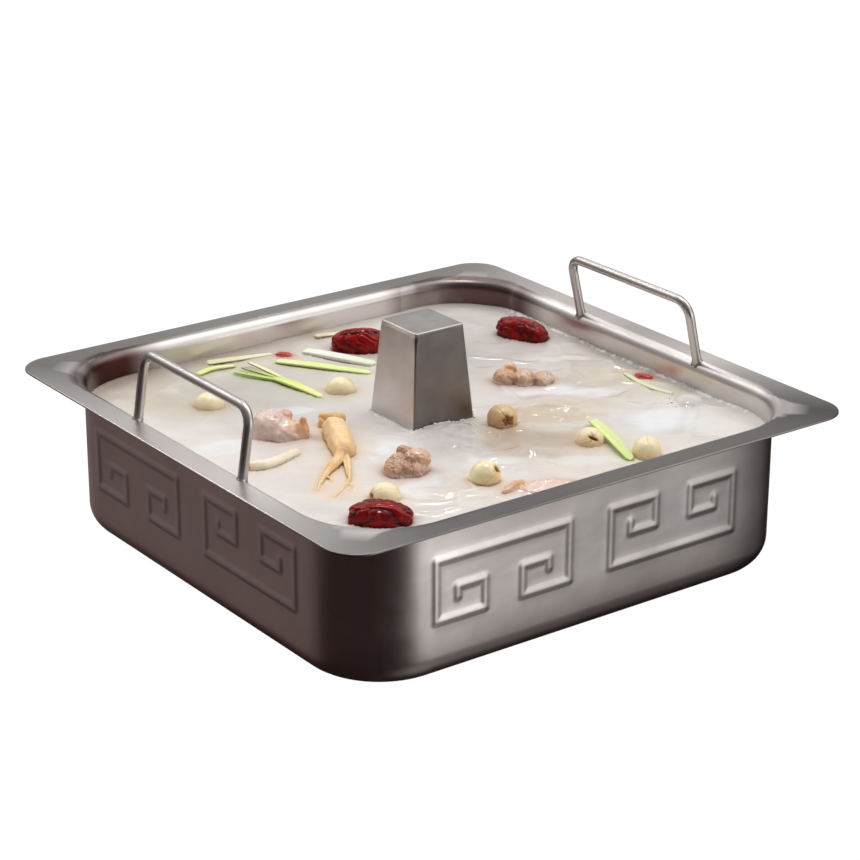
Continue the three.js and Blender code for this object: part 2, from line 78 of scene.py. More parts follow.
def noise(p, seed=0):
    p = np.asarray(p, float)
    i = np.floor(p).astype(np.int64)
    f = p - i
    u = f * f * f * (f * (f * 6 - 15) + 10)
    out = np.zeros(len(p))
    for dx in (0, 1):
        wx = u[:, 0] if dx else 1 - u[:, 0]
        for dy in (0, 1):
            wy = u[:, 1] if dy else 1 - u[:, 1]
            for dz in (0, 1):
                wz = u[:, 2] if dz else 1 - u[:, 2]
                out += wx * wy * wz * _hash(i[:, 0] + dx, i[:, 1] + dy, i[:, 2] + dz, seed)
    return out


def fbm(p, octaves=4, seed=0, gain=0.5):
    p = np.asarray(p, float)
    out, amp, tot = np.zeros(len(p)), 1.0, 0.0
    for o in range(octaves):
        out += amp * noise(p * 2.03 ** o + 17.3 * o, seed + o)
        tot += amp
        amp *= gain
    return out / tot


def smooth(a, b, x):
    t = np.clip((x - a) / (b - a), 0, 1)
    return t * t * (3 - 2 * t)


# ------------------------------------------------------------------ mesh tools
def piece(name, verts, faces, material, node=None, attrs=None, flat=False):
    me = bpy.data.meshes.new(name)
    me.from_pydata((np.asarray(verts, float) * MM).tolist(), [], faces if isinstance(faces, list) else faces.tolist())
    me.validate()
    me.update()
    if not flat:
        me.polygons.foreach_set("use_smooth", [True] * len(me.polygons))
    for key, val in (attrs or {}).items():
        val = np.asarray(val, np.float32)
        if val.ndim == 1:
            me.attributes.new(key, "FLOAT", "POINT").data.foreach_set("value", val)
        else:
            rgba = np.ones((len(val), 4), np.float32)
            rgba[:, :3] = val[:, :3]
            me.attributes.new(key, "FLOAT_COLOR", "POINT").data.foreach_set("color", rgba.ravel())
    me.materials.append(material)
    ob = bpy.data.objects.new(name, me)
    bpy.context.scene.collection.objects.link(ob)
    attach(ob, "root")
    if node:
        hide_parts(*([node] if isinstance(node, str) else node))
    return ob


def tube_faces(rows, cols, close_ends=True):
    """Quads over rows x cols of points, cols closed."""
    a = np.arange(rows - 1)[:, None] * cols + np.arange(cols)[None, :]
    b = np.arange(rows - 1)[:, None] * cols + (np.arange(cols)[None, :] + 1) % cols
    return np.stack([a, b, b + cols, a + cols], -1).reshape(-1, 4)


def capped(rings):
    """Closed skin through rings of equal count; a fan closes each end."""
    rings = [np.asarray(r, float) for r in rings]
    n = len(rings[0])
    v = np.concatenate(rings)
    f = tube_faces(len(rings), n).tolist()
    first, last = len(v), len(v) + 1
    v = np.concatenate([v, [rings[0].mean(0)], [rings[-1].mean(0)]])
    base = (len(rings) - 1) * n
    for i in range(n):
        j = (i + 1) % n
        f.append([first, j, i])
        f.append([last, base + i, base + j])
    return v, f


def facing_out(v, f):
    """Turns the faces round if the closed mesh is inside out."""
    vol = 0.0
    for q in f:
        a = v[q[0]]
        for k in range(1, len(q) - 1):
            vol += float(np.dot(a, np.cross(v[q[k]], v[q[k + 1]])))
    return f if vol > 0 else [list(reversed(q)) for q in f]


def join_meshes(parts):
    vs, fs, off = [], [], 0
    for v, f in parts:
        vs.append(np.asarray(v, float))
        fs += [[i + off for i in q] for q in f]
        off += len(v)
    return np.concatenate(vs), fs


def remeshed(v, f, voxel, even=3):
    """One clean closed skin over overlapping closed shapes (mm in, mm out)."""
    me = bpy.data.meshes.new("tmp")
    me.from_pydata((np.asarray(v) * MM).tolist(), [], [list(q) for q in f])
    ob = bpy.data.objects.new("tmp", me)
    bpy.context.scene.collection.objects.link(ob)
    mod = ob.modifiers.new("r", "REMESH")
    mod.mode = "VOXEL"
    mod.voxel_size = voxel * MM
    sm = ob.modifiers.new("s", "SMOOTH")
    sm.factor, sm.iterations = 0.5, even
    dg = bpy.context.evaluated_depsgraph_get()
    got = bpy.data.meshes.new_from_object(ob.evaluated_get(dg))
    vv = np.zeros(len(got.vertices) * 3)
    got.vertices.foreach_get("co", vv)
    ff = [list(p.vertices) for p in got.polygons]
    nn = np.zeros(len(got.vertices) * 3)
    got.vertices.foreach_get("normal", nn)
    bpy.data.objects.remove(ob)
    bpy.data.meshes.remove(me)
    bpy.data.meshes.remove(got)
    return vv.reshape(-1, 3) * 1000, ff, nn.reshape(-1, 3)


def normals_of(v, f):
    n = np.zeros_like(v)
    q = np.array([x if len(x) == 4 else [x[0], x[1], x[2], x[2]] for x in f])
    c = np.cross(v[q[:, 2]] - v[q[:, 0]], v[q[:, 3]] - v[q[:, 1]])
    tri = q[:, 2] == q[:, 3]
    c[tri] = np.cross(v[q[tri, 1]] - v[q[tri, 0]], v[q[tri, 2]] - v[q[tri, 0]])
    for k in range(4):
        np.add.at(n, q[:, k], c)
    return n / np.maximum(np.linalg.norm(n, axis=1, keepdims=True), 1e-12)


# ------------------------------------------------------------------ materials
class Mat:
    def __init__(self, name, **sockets):
        self.m = bpy.data.materials.new(name)
        self.m.use_nodes = True
        self.nt = self.m.node_tree
        self.nt.nodes.clear()
        self.out = self.nt.nodes.new("ShaderNodeOutputMaterial")
        self.b = self.nt.nodes.new("ShaderNodeBsdfPrincipled")
        self.nt.links.new(self.b.outputs[0], self.out.inputs[0])
        self.xyz = self.nt.nodes.new("ShaderNodeTexCoord").outputs["Object"]
        for k, v in sockets.items():
            self.b.inputs[k.replace("_", " ")].default_value = v

    def set(self, socket, src):
        self.nt.links.new(src, self.b.inputs[socket])

    def node(self, kind, **props):
        n = self.nt.nodes.new(kind)
        for k, v in props.items():
            setattr(n, k, v)
        return n

    def put(self, sock, val):
        if isinstance(val, bpy.types.NodeSocket):
            self.nt.links.new(val, sock)
        else:
            sock.default_value = val

    def attr(self, name, color=True):
        n = self.node("ShaderNodeAttribute", attribute_name=name)
        return n.outputs["Color" if color else "Fac"]

    def scaled(self, s, src=None):
        n = self.node("ShaderNodeMapping")
        self.nt.links.new(src or self.xyz, n.inputs["Vector"])
        n.inputs["Scale"].default_value = s if hasattr(s, "__len__") else (s, s, s)
        return n.outputs[0]

    def noise(self, scale, detail=3, rough=0.5, vec=None, distort=0.0):
        n = self.node("ShaderNodeTexNoise")
        self.nt.links.new(vec or self.xyz, n.inputs["Vector"])
        n.inputs["Scale"].default_value = scale
        n.inputs["Detail"].default_value = detail
        n.inputs["Roughness"].default_value = rough
        n.inputs["Distortion"].default_value = distort
        return n.outputs["Fac"]

    def voronoi(self, scale, feature="F1", vec=None):
        n = self.node("ShaderNodeTexVoronoi", feature=feature)
        self.nt.links.new(vec or self.xyz, n.inputs["Vector"])
        n.inputs["Scale"].default_value = scale
        return n.outputs["Distance"]

    def ramp(self, fac, stops, mode="LINEAR"):
        n = self.node("ShaderNodeValToRGB")
        n.color_ramp.interpolation = mode
        self.nt.links.new(fac, n.inputs[0])
        e = n.color_ramp.elements
        while len(e) < len(stops):
            e.new(0.5)
        for i, (p, c) in enumerate(stops):
            e[i].position = p
            e[i].color = (*c, 1) if hasattr(c, "__len__") else (c, c, c, 1)
        return n.outputs[0]

    def mix(self, fac, a, b, mode="MIX"):
        n = self.node("ShaderNodeMix", data_type="RGBA", blend_type=mode)
        self.put(n.inputs[0], fac)
        self.put(n.inputs[6], (*a, 1) if isinstance(a, tuple) else a)
        self.put(n.inputs[7], (*b, 1) if isinstance(b, tuple) else b)
        return n.outputs[2]

    def math(self, op, a, b=0.0, c=0.0):
        n = self.node("ShaderNodeMath", operation=op)
        for i, x in enumerate((a, b, c)):
            if i < len(n.inputs):
                self.put(n.inputs[i], x)
        return n.outputs[0]

    def remap(self, x, a, b, c, d):
        n = self.node("ShaderNodeMapRange")
        for i, val in enumerate((x, a, b, c, d)):
            self.put(n.inputs[i], val)
        return n.outputs[0]

    def bump(self, height, strength, dist_mm, normal=None):
        n = self.node("ShaderNodeBump")
        n.inputs["Strength"].default_value = strength
        n.inputs["Distance"].default_value = dist_mm * MM
        self.nt.links.new(height, n.inputs["Height"])
        if normal is not None:
            self.nt.links.new(normal, n.inputs["Normal"])
        return n.outputs[0]


def srgb(r, g, b):
    f = lambda c: (c / 12.92 if c <= 0.04045 else ((c + 0.055) / 1.055) ** 2.4)
    return tuple(f(x / 255) for x in (r, g, b))


def steel(name, rough=0.33, aniso=0.0):
    m = Mat(name, Metallic=1.0)
    if aniso:
        m.b.inputs["Anisotropic"].default_value = aniso
    cloud = m.noise(14, 3, 0.55)
    tone = m.attr("tone")
    base = m.mix(m.remap(cloud, 0.3, 0.7, 0, 1), srgb(188, 183, 180), srgb(200, 196, 194))
    m.set("Base Color", m.mix(1.0, base, tone, "MULTIPLY"))
    grain = m.noise(1.0, 4, 0.6, m.scaled((2600, 2600, 2600)))
    spots = m.noise(60, 4, 0.6)
    r = m.math("ADD", m.remap(grain, 0.3, 0.7, rough - 0.05, rough + 0.06), m.remap(spots, 0.3, 0.7, -0.03, 0.04))
    m.set("Roughness", r)
    soft = m.bump(m.noise(22, 2, 0.5), 0.12, 1.2)
    m.set("Normal", m.bump(grain, 0.10, 0.05, soft))
    return m


# ------------------------------------------------------------------ pan
def fret_line():
    half = lambda s: [(s * 28.0, 15.8 + 5.5), (s * 28.0, 15.8), (s * 11.5, 15.8),
                      (s * 11.5, 31.5), (s * 40.8, 31.5), (s * 40.8, 0.0)]
    return half(-1) + half(1)[::-1]


FRET_TOP, FRET_H, FRET_W, FRET_RAISE = 64.6, 31.5, 3.6, 0.78


def fret_height(u, z):
    """Height of the raised key pattern at distance u along the wall and height z."""
    out = np.zeros_like(u)
    line = fret_line()
    for centre, flip in ((-57.0, False), (51.0, True)):
        v = (z - (FRET_TOP - FRET_H)) if flip else (FRET_TOP - z)
        d = np.full_like(u, 99.0)
        x = u - centre
        for (ax, ay), (bx, by) in zip(line, line[1:]):
            dx, dy = bx - ax, by - ay
            t = np.clip(((x - ax) * dx + (v - ay) * dy) / (dx * dx + dy * dy), 0, 1)
            d = np.minimum(d, np.hypot(x - ax - t * dx, v - ay - t * dy))
        k = np.clip(1 - d / FRET_W, 0, 1)
        out = np.maximum(out, FRET_RAISE * (k * k * (3 - 2 * k)))
    return out


def fill(lines, gap):
    """Sorted lines with evenly spaced ones added wherever two are more than gap apart."""
    lines = sorted(set(round(x, 4) for x in lines))
    out = [lines[0]]
    for a in lines[1:]:
        if a - out[-1] < 0.25:
            continue
        n = int(math.ceil((a - out[-1]) / gap))
        b = out[-1]
        out += [b + (a - b) * k / n for k in range(1, n + 1)]
    return out


OFF = (-3.6, -2.8, -1.85, -0.9, 0.0, 0.9, 1.85, 2.8, 3.6)
_us = [-SHIFT, SHIFT]
for c in (-57.0, 51.0):
    for x in (-40.8, -28.0, -11.5, 11.5, 28.0, 40.8):
        _us += [c + x + o for o in OFF if -SHIFT < c + x + o < SHIFT]
US = np.array(fill(_us, 3.2))
ARC = np.concatenate([np.linspace(0, 1, 21)[1:-2], [1 - 2.6 / 45 / (PI / 2), 1 - 1.45 / 45 / (PI / 2), 1 - 0.7 / 45 / (PI / 2)]])
_zs = [30.0, 81.3]
for z in (33.1, 43.3, 48.85, 54.4, 64.6):
    _zs += [z + o for o in OFF]
ZS = fill(_zs, 3.0)


def ring(half, r, z):
    """Points of a rounded square, with the same columns on every ring."""
    c = half - r
    pts = []
    for k in range(4):
        a = k * PI / 2
        local = [(u * c / SHIFT, -half) for u in US]
        local += [(c + r * math.sin(t * PI / 2), -c - r * math.cos(t * PI / 2)) for t in ARC]
        ca, sa = math.cos(a), math.sin(a)
        pts += [(x * ca - y * sa, x * sa + y * ca, z) for x, y in local]
    return np.array(pts)


def side_coords():
    """For each column: distance along its own wall, and along the next wall (for arcs)."""
    own, nxt = [], []
    for k in range(4):
        own += list(US) + [SHIFT + 45 * t * PI / 2 for t in ARC]
        nxt += [-999.0] * len(US) + [-SHIFT - 45 * (1 - t) * PI / 2 for t in ARC]
    return np.array(own), np.array(nxt)


def build_pan(mat):
    inner = BODY - SHEET
    H, R, F = PAN_H, 6.2, 15.0
    at = lambda half, z: ring(half, half - SHIFT, z)
    own, nxt = side_coords()
    rings, tones = [], []

    def add(r, tone=None):
        rings.append(r)
        tones.append(np.ones(len(r)) if tone is None else tone)

    add(at(60, 0.0))
    add(at(110, 0.0))
    for t in np.linspace(0, PI / 2, 13):
        add(at(BODY - F + F * math.sin(t), F - F * math.cos(t)))
    for z in (20.0, 25.0):
        add(at(BODY, z))
    for z in ZS:
        r = at(BODY, z)
        zz = np.full(len(r), z)
        h = np.maximum(fret_height(own, zz), fret_height(nxt, zz))
        n = r.copy()
        n[:, 2] = 0
        # outward normal of the rounded square
        cx = np.clip(r[:, 0], -SHIFT, SHIFT)
        cy = np.clip(r[:, 1], -SHIFT, SHIFT)
        n[:, 0], n[:, 1] = r[:, 0] - cx, r[:, 1] - cy
        n /= np.linalg.norm(n, axis=1, keepdims=True)
        wob = 0.16 * fbm(np.c_[r[:, :2], zz] / 46, 2, 5) * smooth(30, 40, z) * (1 - smooth(72, 80, z))
        add(r + n * (h + wob)[:, None])
    for t in np.linspace(0, PI / 2, 9)[1:]:
        add(at(inner + R - (R - SHEET) * math.cos(t), H - R + (R - SHEET) * math.sin(t)))
    er = 0.5
    add(ring(RIM_HALF - 4, 22, H - SHEET))
    add(ring(RIM_HALF - er, 18 - er, H - SHEET))
    for t in (0.35, 0.8, 1.2, PI / 2):
        add(ring(RIM_HALF - er + er * math.sin(t), 18 - er + er * math.sin(t), H - SHEET + er - er * math.cos(t)))
    for t in (0, 0.35, 0.8, 1.2, PI / 2):
        add(ring(RIM_HALF - er + er * math.cos(t), 18 - er + er * math.cos(t), H - er + er * math.sin(t)))
    for k in (0.12, 0.5, 0.85):
        a, b = np.array(ring(RIM_HALF - er, 18 - er, H)), at(inner + R, H)
        add(a * (1 - k) + b * k)
    inside_from = sum(len(r) for r in rings)
    for t in np.linspace(PI / 2, 0, 15):
        add(at(inner + R - R * math.cos(t), H - R + R * math.sin(t)))
    for z in (78.5, 75.5, 72.5, 69.0, 50.0, 30.0):
        add(at(inner, z))
    f = F - SHEET
    for t in np.linspace(PI / 2, 0, 7):
        add(at(inner - f + f * math.sin(t), F - f * math.cos(t)))
    add(at(70, SHEET))
    v, faces = capped(rings)
    faces = facing_out(v, faces)
    x, y, z = v.T
    tone = np.ones((len(v), 3))
    # painted reflection on the flat of the rim: lighter and darker round its circuit, darker towards the corners and
    # the front
    top = smooth(H - 1.6, H - 0.2, z) * (np.maximum(np.abs(x), np.abs(y)) > inner)
    pol = np.degrees(np.arctan2(y, x)) % 360
    k = np.interp(pol, [0, 25, 38, 45, 54, 70, 90, 108, 125, 135, 146, 165, 180, 205, 219, 225, 233, 250, 270, 295, 308, 315, 322, 340, 360],
                  [1.02, 1.36, .90, .56, .46, .54, .58, .54, .46, .40, .84, 1.24, 1.42, 1.40, .76, .44, .25, .23, .33, .38, .27, .15, .46, 1.50, 1.02])
    k = k * (1 + 0.05 * fbm(np.c_[x, y, z] / 34, 3, 31))
    tone *= (1 - top * (1 - k))[:, None]
    # painted shade on the inside wall above the broth: dark in its two far corners
    insd = (np.maximum(np.abs(x), np.abs(y)) < inner + 5.5) & (z > 60) & (z < H + 0.1) & (np.arange(len(v)) >= inside_from)
    cor = np.minimum(np.abs(x), np.abs(y)) - SHIFT
    low = 1 - smooth(H - 4.5, H - 0.8, z)
    far = smooth(-30, 2, cor) * (y > 0)
    left = far * (x < 0) * 1.0
    back = far * (x > 0) * 0.92
    w = np.where(insd, (left + back) * (0.80 + 0.20 * low), 0)
    # the painted corner shade is broken into streaks round the corner
    w = w * (1 - 0.35 * smooth(0.1, 0.7, noise(np.c_[np.degrees(np.arctan2(y, x)) / 2.6, z / 60, z * 0], 33)))
    # painted light: the inside wall above the broth is lighter below its rolled top
    tone *= np.where(insd, 1 + 0.34 * low, 1.0)[:, None]
    tone *= 1 - w[:, None] * np.array([0.88, 0.955, 0.955])
    # painted light and shade: the outside of the right-hand wall falls off towards its far end and darkens towards its
    # foot, the left end is lighter
    out_y = (y < -BODY + 10) & (z < H - 2.0)
    along = x
    painted_wall_shade = np.interp(along, [-104, -80, -40, 0, 30, 62, 82, 100], [1.14, 1.00, 0.83, 0.71, 0.62, 0.66, 0.56, 0.34])
    painted_wall_shade = painted_wall_shade * (1 - 0.34 * smooth(40, 12, z)) * (1 + 0.10 * fbm(np.c_[x / 17, z / 8, z * 0], 3, 71) + 0.035 * noise(np.c_[x / 4, z / 2.2, z * 0], 72))
    tone *= np.where(out_y, painted_wall_shade, 1.0)[:, None]
    # the lower outside wall is warmer and a little darker towards its foot
    outw = (np.maximum(np.abs(x), np.abs(y)) > BODY - 6) & (z < 40)
    warm = np.where(outw, 1 - smooth(8, 34, z), 0)
    tone *= 1 - warm[:, None] * np.array([0.04, 0.10, 0.11])
    # painted reflection: the left-hand wall is tinted a little brownish
    brown = np.where((x < -BODY + 20) & (z < H - 2.0), 1.0, 0.0)
    tone *= 1 - brown[:, None] * np.array([0.0, 0.05, 0.055])
    return piece("pan_steel", v, faces, mat, "pan", {"tone": tone})


# ------------------------------------------------------------------ handles
def build_handle(name, direction, mid_y, lean, mat):
    R = 2.56
    z0, z1, rb, half = PAN_H, TOP - R - 0.02, 9.0, 50.0
    yz = [(-half, z) for z in np.linspace(z0, z1 - rb, 22)]
    yz += [(-half + rb - rb * math.cos(t), z1 - rb + rb * math.sin(t)) for t in np.linspace(0, PI / 2, 14)[1:]]
    yz += [(y, z1) for y in np.linspace(-half + rb, half - rb, 16)[1:]]
    yz += [(half - rb + rb * math.cos(t), z1 - rb + rb * math.sin(t)) for t in np.linspace(PI / 2, 0, 14)[1:]]
    yz += [(half, z) for z in np.linspace(z1 - rb, z0, 22)[1:]]
    P = np.array([(direction * (146 - lean * (z - z0) / (z1 - z0)), mid_y + y, z) for y, z in yz])
    D = np.gradient(P, axis=0)
    D /= np.linalg.norm(D, axis=1, keepdims=True)
    side = np.array([1.0, 0, 0]) - D * D[:, :1]
    side /= np.linalg.norm(side, axis=1, keepdims=True)
    up = np.cross(side, D)
    n = 28
    q = np.arange(n) * 2 * PI / n
    inner = BODY - SHEET

    def rim_z(x):
        """Height of the rim's upper face; it rolls down towards the inside."""
        g = np.clip(inner + 6.2 - np.abs(x), 0, 6.19)
        return PAN_H - 6.2 + np.sqrt(6.2 ** 2 - g * g)

    def foot(h, a):
        c = P[a].copy()
        c[2] = PAN_H
        r = R + 0.75 * math.exp(-(h / 0.55) ** 2)
        wob = 1 + 0.03 * np.sin(3 * q + a) * math.exp(-h / 1.0)
        p = c + np.outer(np.cos(q) * r * wob, side[a]) + np.outer(np.sin(q) * r * wob, up[a])
        p[:, 2] = np.maximum(rim_z(p[:, 0]) + 0.02, PAN_H - 3.2) + h
        return p
    ends = [0, len(P) - 1]
    hs = (0.0, 0.25, 0.5, 0.8, 1.2)
    start = [foot(h, ends[0]) for h in hs]
    end = [foot(h, ends[1]) for h in hs][::-1]
    body = [P[i] + R * (np.outer(np.cos(q), side[i]) + np.outer(np.sin(q), up[i])) for i in range(2, len(P) - 2)]
    rings = start + body + end
    v, f = capped(rings)
    tone = np.ones((len(v), 3))
    h = v[:, 2] - PAN_H
    tone *= (0.74 + 0.26 * smooth(-0.5, 2.2, h))[:, None]
    return piece(name, v, facing_out(v, f), mat, name.replace("_rod", ""), {"tone": tone})


# ------------------------------------------------------------------ chimney
def build_chimney(mat):
    lo, hi = mm_box("chimney")
    cx, cy = (lo[0] + hi[0]) / 2, (lo[1] + hi[1]) / 2
    half_top, grow, er = 15.6, 0.083, 1.3
    m, ns = 18, 7

    def cring(half, r, z):
        pts, c = [], half - r
        for k in range(4):
            a = k * PI / 2
            loc = [(u, -half) for u in np.linspace(-c, c, m)]
            loc += [(c + r * math.sin(t), -c - r * math.cos(t)) for t in np.linspace(0, PI / 2, ns)[1:-1]]
            ca, sa = math.cos(a), math.sin(a)
            pts += [(cx + x * ca - y * sa, cy + x * sa + y * ca, z) for x, y in loc]
        return np.array(pts)

    half_at = lambda z: half_top + grow * (TOP - z)
    rings = [cring(half_at(2) - SHEET, 0.6, 1.5)]
    for z in [1.5, 30.0, 60.0] + list(np.linspace(68, TOP - 1.4, 40)):
        r = cring(half_at(z), er, z)
        # thin sheet: each face sinks very slightly between its welded corners
        d = np.minimum(half_at(z) - np.abs(r[:, 0] - cx), half_at(z) - np.abs(r[:, 1] - cy))
        along = np.maximum(np.abs(r[:, 0] - cx), np.abs(r[:, 1] - cy))
        mid = np.minimum(np.abs(r[:, 0] - cx), np.abs(r[:, 1] - cy)) / half_at(z)
        sink = 0.22 * np.cos(np.clip(mid, 0, 1) * PI / 2) + 0.05 * fbm(r / 13, 2, 9)
        n = np.zeros_like(r)
        bx = np.abs(r[:, 0] - cx) > np.abs(r[:, 1] - cy)
        n[bx, 0] = np.sign(r[bx, 0] - cx)
        n[~bx, 1] = np.sign(r[~bx, 1] - cy)
        r = r - n * sink[:, None]
        # front seam: a small open notch at its top
        fx, fy = cx - half_at(z), cy - half_at(z)
        dist = np.hypot(r[:, 0] - fx, r[:, 1] - fy)
        notch = 0.9 * math.exp(-((TOP - 3.2 - z) / 1.1) ** 2)
        inw = np.array([1, 1, 0]) / math.sqrt(2)
        r = r + inw * (notch * np.exp(-(dist / 1.3) ** 2))[:, None]
        rings.append(r)
    for t in np.linspace(0, PI / 2, 7)[1:]:
        h = half_at(TOP - 1.1)
        rings.append(cring(h - 1.1 + 1.1 * math.cos(t), max(er - 1.1 + 1.1 * math.cos(t), 0.3), TOP - 1.1 + 1.1 * math.sin(t)))
    for k in (0.9, 0.7, 0.4, 0.15):
        r = cring((half_top - 1.0) * k, 0.3, TOP)
        r[:, 2] = TOP - 0.12 * (1 - k)
        rings.append(r)
    v, f = capped(rings)
    tone = np.ones((len(v), 3))
    x, y, z = v[:, 0] - cx, v[:, 1] - cy, v[:, 2]
    # painted highlight: the corner edges of the sides are lighter
    edge = np.abs(np.abs(x) - np.abs(y)) < 0.9
    side = (z < TOP - 0.4)
    tone[edge & side] *= 1.12
    # painted shade: the right-hand face is darker and a little brown, darkest towards the top, with a mottle
    right = (-y > np.abs(x) - 0.6) & side
    mott = fbm(np.c_[x, y, z] / 7.5, 3, 77)
    tone[right] *= (0.38 - 0.12 * smooth(92, 120, z[right]) + 0.05 * mott[right])[:, None] * np.array([1.0, 0.94, 0.96])
    # painted light: the left-hand face is lighter, more so towards the top
    left_ = (-x > np.abs(y) - 0.6) & side & ~right
    tone[left_] *= (1.36 + 0.16 * mott[left_] + 0.12 * smooth(98, 120, z[left_]))[:, None] * np.array([1.0, 1.0, 1.04])
    # painted shade: the flat top is darker, with a mottle
    cap = z > TOP - 0.4
    tone[cap] *= (0.66 + 0.12 * mott[cap])[:, None]
    # painted highlight along the top lip of the two near faces
    lip = (z > TOP - 1.5) & (z < TOP - 0.05) & ((-x > half_top - 1.6) | (-y > half_top - 1.6))
    tone[lip] *= 1.35
    # painted shade in the notch at the top of the front seam
    fx, fy = x + half_at(z), y + half_at(z)
    dist = np.hypot(fx, fy)
    tone *= (1 - 0.75 * np.exp(-(dist / 1.3) ** 2 - ((TOP - 3.2 - z) / 1.2) ** 2))[:, None]
    # dry scale just above the broth
    tone *= (1 - 0.10 * np.exp(-((z - LEVEL - 3) / 3) ** 2))[:, None]
    return piece("chimney_steel", v, facing_out(v, f), mat, "chimney", {"tone": np.clip(tone, 0, 1.75)})


# ------------------------------------------------------------------ shapes of the toppings
def ball(nt, npnt):
    """Unit directions on a sphere whose poles lie on the x axis, and its faces."""
    th = np.linspace(0, PI, nt + 1)[1:-1]
    ph = np.arange(npnt) * 2 * PI / npnt
    T, Ph = np.meshgrid(th, ph, indexing="ij")
    d = np.stack([np.cos(T), np.sin(T) * np.cos(Ph), np.sin(T) * np.sin(Ph)], -1).reshape(-1, 3)
    d = np.concatenate([d, [[1, 0, 0]], [[-1, 0, 0]]])
    f = tube_faces(nt - 1, npnt).tolist()
    a, b, base = len(d) - 2, len(d) - 1, (nt - 2) * npnt
    for i in range(npnt):
        j = (i + 1) % npnt
        f.append([a, j, i])
        f.append([b, base + i, base + j])
    return d, f


def turned(p, yaw, pitch=0.0, roll=0.0):
    R = Matrix.Rotation(yaw, 3, "Z") @ Matrix.Rotation(pitch, 3, "Y") @ Matrix.Rotation(roll, 3, "X")
    return p @ np.array(R).T


def lump_at(d, half, n=2.0, k=None):
    s = (np.abs(d) ** n).sum(1) ** (-1 / n)
    k = np.ones(len(d)) if k is None else k
    return d * np.array(half) * (s * k)[:, None]


def lump_mesh(at, half, yaw=YAW, pitch=0.0, n=2.2, res=(36, 48), wob=0.06, seed=0, scale=6.0):
    d, f = ball(*res)
    k = 1 + wob * fbm(d * 2.1 + seed * 3.7, 3, seed)
    p = lump_at(d, half, n, k)
    p = turned(p, yaw, pitch) + np.array(at)
    return p, facing_out(p, f)


def local(at, off, yaw=YAW):
    c, s = math.cos(yaw), math.sin(yaw)
    return (at[0] + c * off[0] - s * off[1], at[1] + s * off[0] + c * off[1], at[2] + off[2])


def catmull(places, steps):
    P = np.asarray(places, float)
    P = np.vstack([2 * P[0] - P[1], P, 2 * P[-1] - P[-2]])
    out = []
    n = len(P) - 3
    for i in range(steps + 1):
        t = i / steps * n
        j = min(int(t), n - 1)
        u = t - j
        a, b, c, d = P[j], P[j + 1], P[j + 2], P[j + 3]
        out.append(0.5 * (2 * b + (c - a) * u + (2 * a - 5 * b + 4 * c - d) * u * u + (3 * b - a - 3 * c + d) * u ** 3))
    return np.array(out)


def swept(places, steps, sides, shape, power=2.0, tip=(0.15, 0.15)):
    """Closed strip along places [x, y, z, width, thickness]; shape(t, q, w, h) bends the section.
    Returns points, faces, and the along and across coordinates of every point."""
    S = catmull(places, steps)
    P, W, T = S[:, :3], S[:, 3], S[:, 4]
    D = np.gradient(P, axis=0)
    D /= np.linalg.norm(D, axis=1, keepdims=True)
    side = np.cross(D, [0, 0, 1.0])
    side /= np.linalg.norm(side, axis=1, keepdims=True)
    up = np.cross(side, D)
    q = (np.arange(sides) + 0.5) * 2 * PI / sides
    cq = np.sign(np.cos(q)) * np.abs(np.cos(q)) ** (2 / power)
    sq = np.sign(np.sin(q)) * np.abs(np.sin(q)) ** (2 / power)
    rings, al, ac = [], [], []
    for i in range(len(P)):
        t = i / (len(P) - 1)
        e = min(1.0, t / tip[0] if tip[0] else 1.0), min(1.0, (1 - t) / tip[1] if tip[1] else 1.0)
        k = math.sqrt(max(0.02, 1 - (1 - min(e)) ** 2))
        w, h = W[i] / 2 * k, T[i] / 2 * k
        a, b = shape(t, q, cq * w, sq * h, w, h)
        rings.append(P[i] + np.outer(a, side[i]) + np.outer(b, up[i]))
        al.append(np.full(sides, t))
        ac.append(cq)
    v, f = capped(rings)
    al = np.concatenate(al + [[0.0], [1.0]])
    ac = np.concatenate(ac + [[0.0], [0.0]])
    return v, facing_out(v, f), al, ac


plain_section = lambda t, q, a, b, w, h: (a, b)


def curled(depth, ribs=0.0, count=9, fold=0.0, phase=0.0):
    """Section that curls up at its edges, with fine lengthwise ribs."""
    def f(t, q, a, b, w, h):
        x = a / max(w, 1e-6)
        lift = depth * w * (x * x) * (1 + 0.35 * math.sin(5 * t + phase))
        lift = lift + fold * w * np.abs(x - 0.2 * math.sin(3 * t + phase))
        return a, b + lift + 0.25 * ribs * np.sin(count * PI * x + phase) * np.sign(np.sin(q))
    return f


Z = LEVEL
V = YAW
rad = math.radians
TOP_POINTS = []     # (points, faces) of every topping, for the waterline


TOP_TINTS = []


def remember(v, f, tint=(0.8, 0.76, 0.7)):
    TOP_POINTS.append((v, f))
    TOP_TINTS.append(np.ones((len(v), 3)) * np.array(tint))


MILK = np.array((0.80, 0.765, 0.73))


def soaked(v, tint, amount=0.75, reach=1.5, level=LEVEL + 0.25, jitter=0.35):
    """Milky broth films over whatever stands near its surface."""
    w = amount * (1 - smooth(0.0, reach, v[:, 2] - level + jitter * fbm(v / 2.4, 2, 91)))
    return tint * (1 - w[:, None]) + MILK * w[:, None]


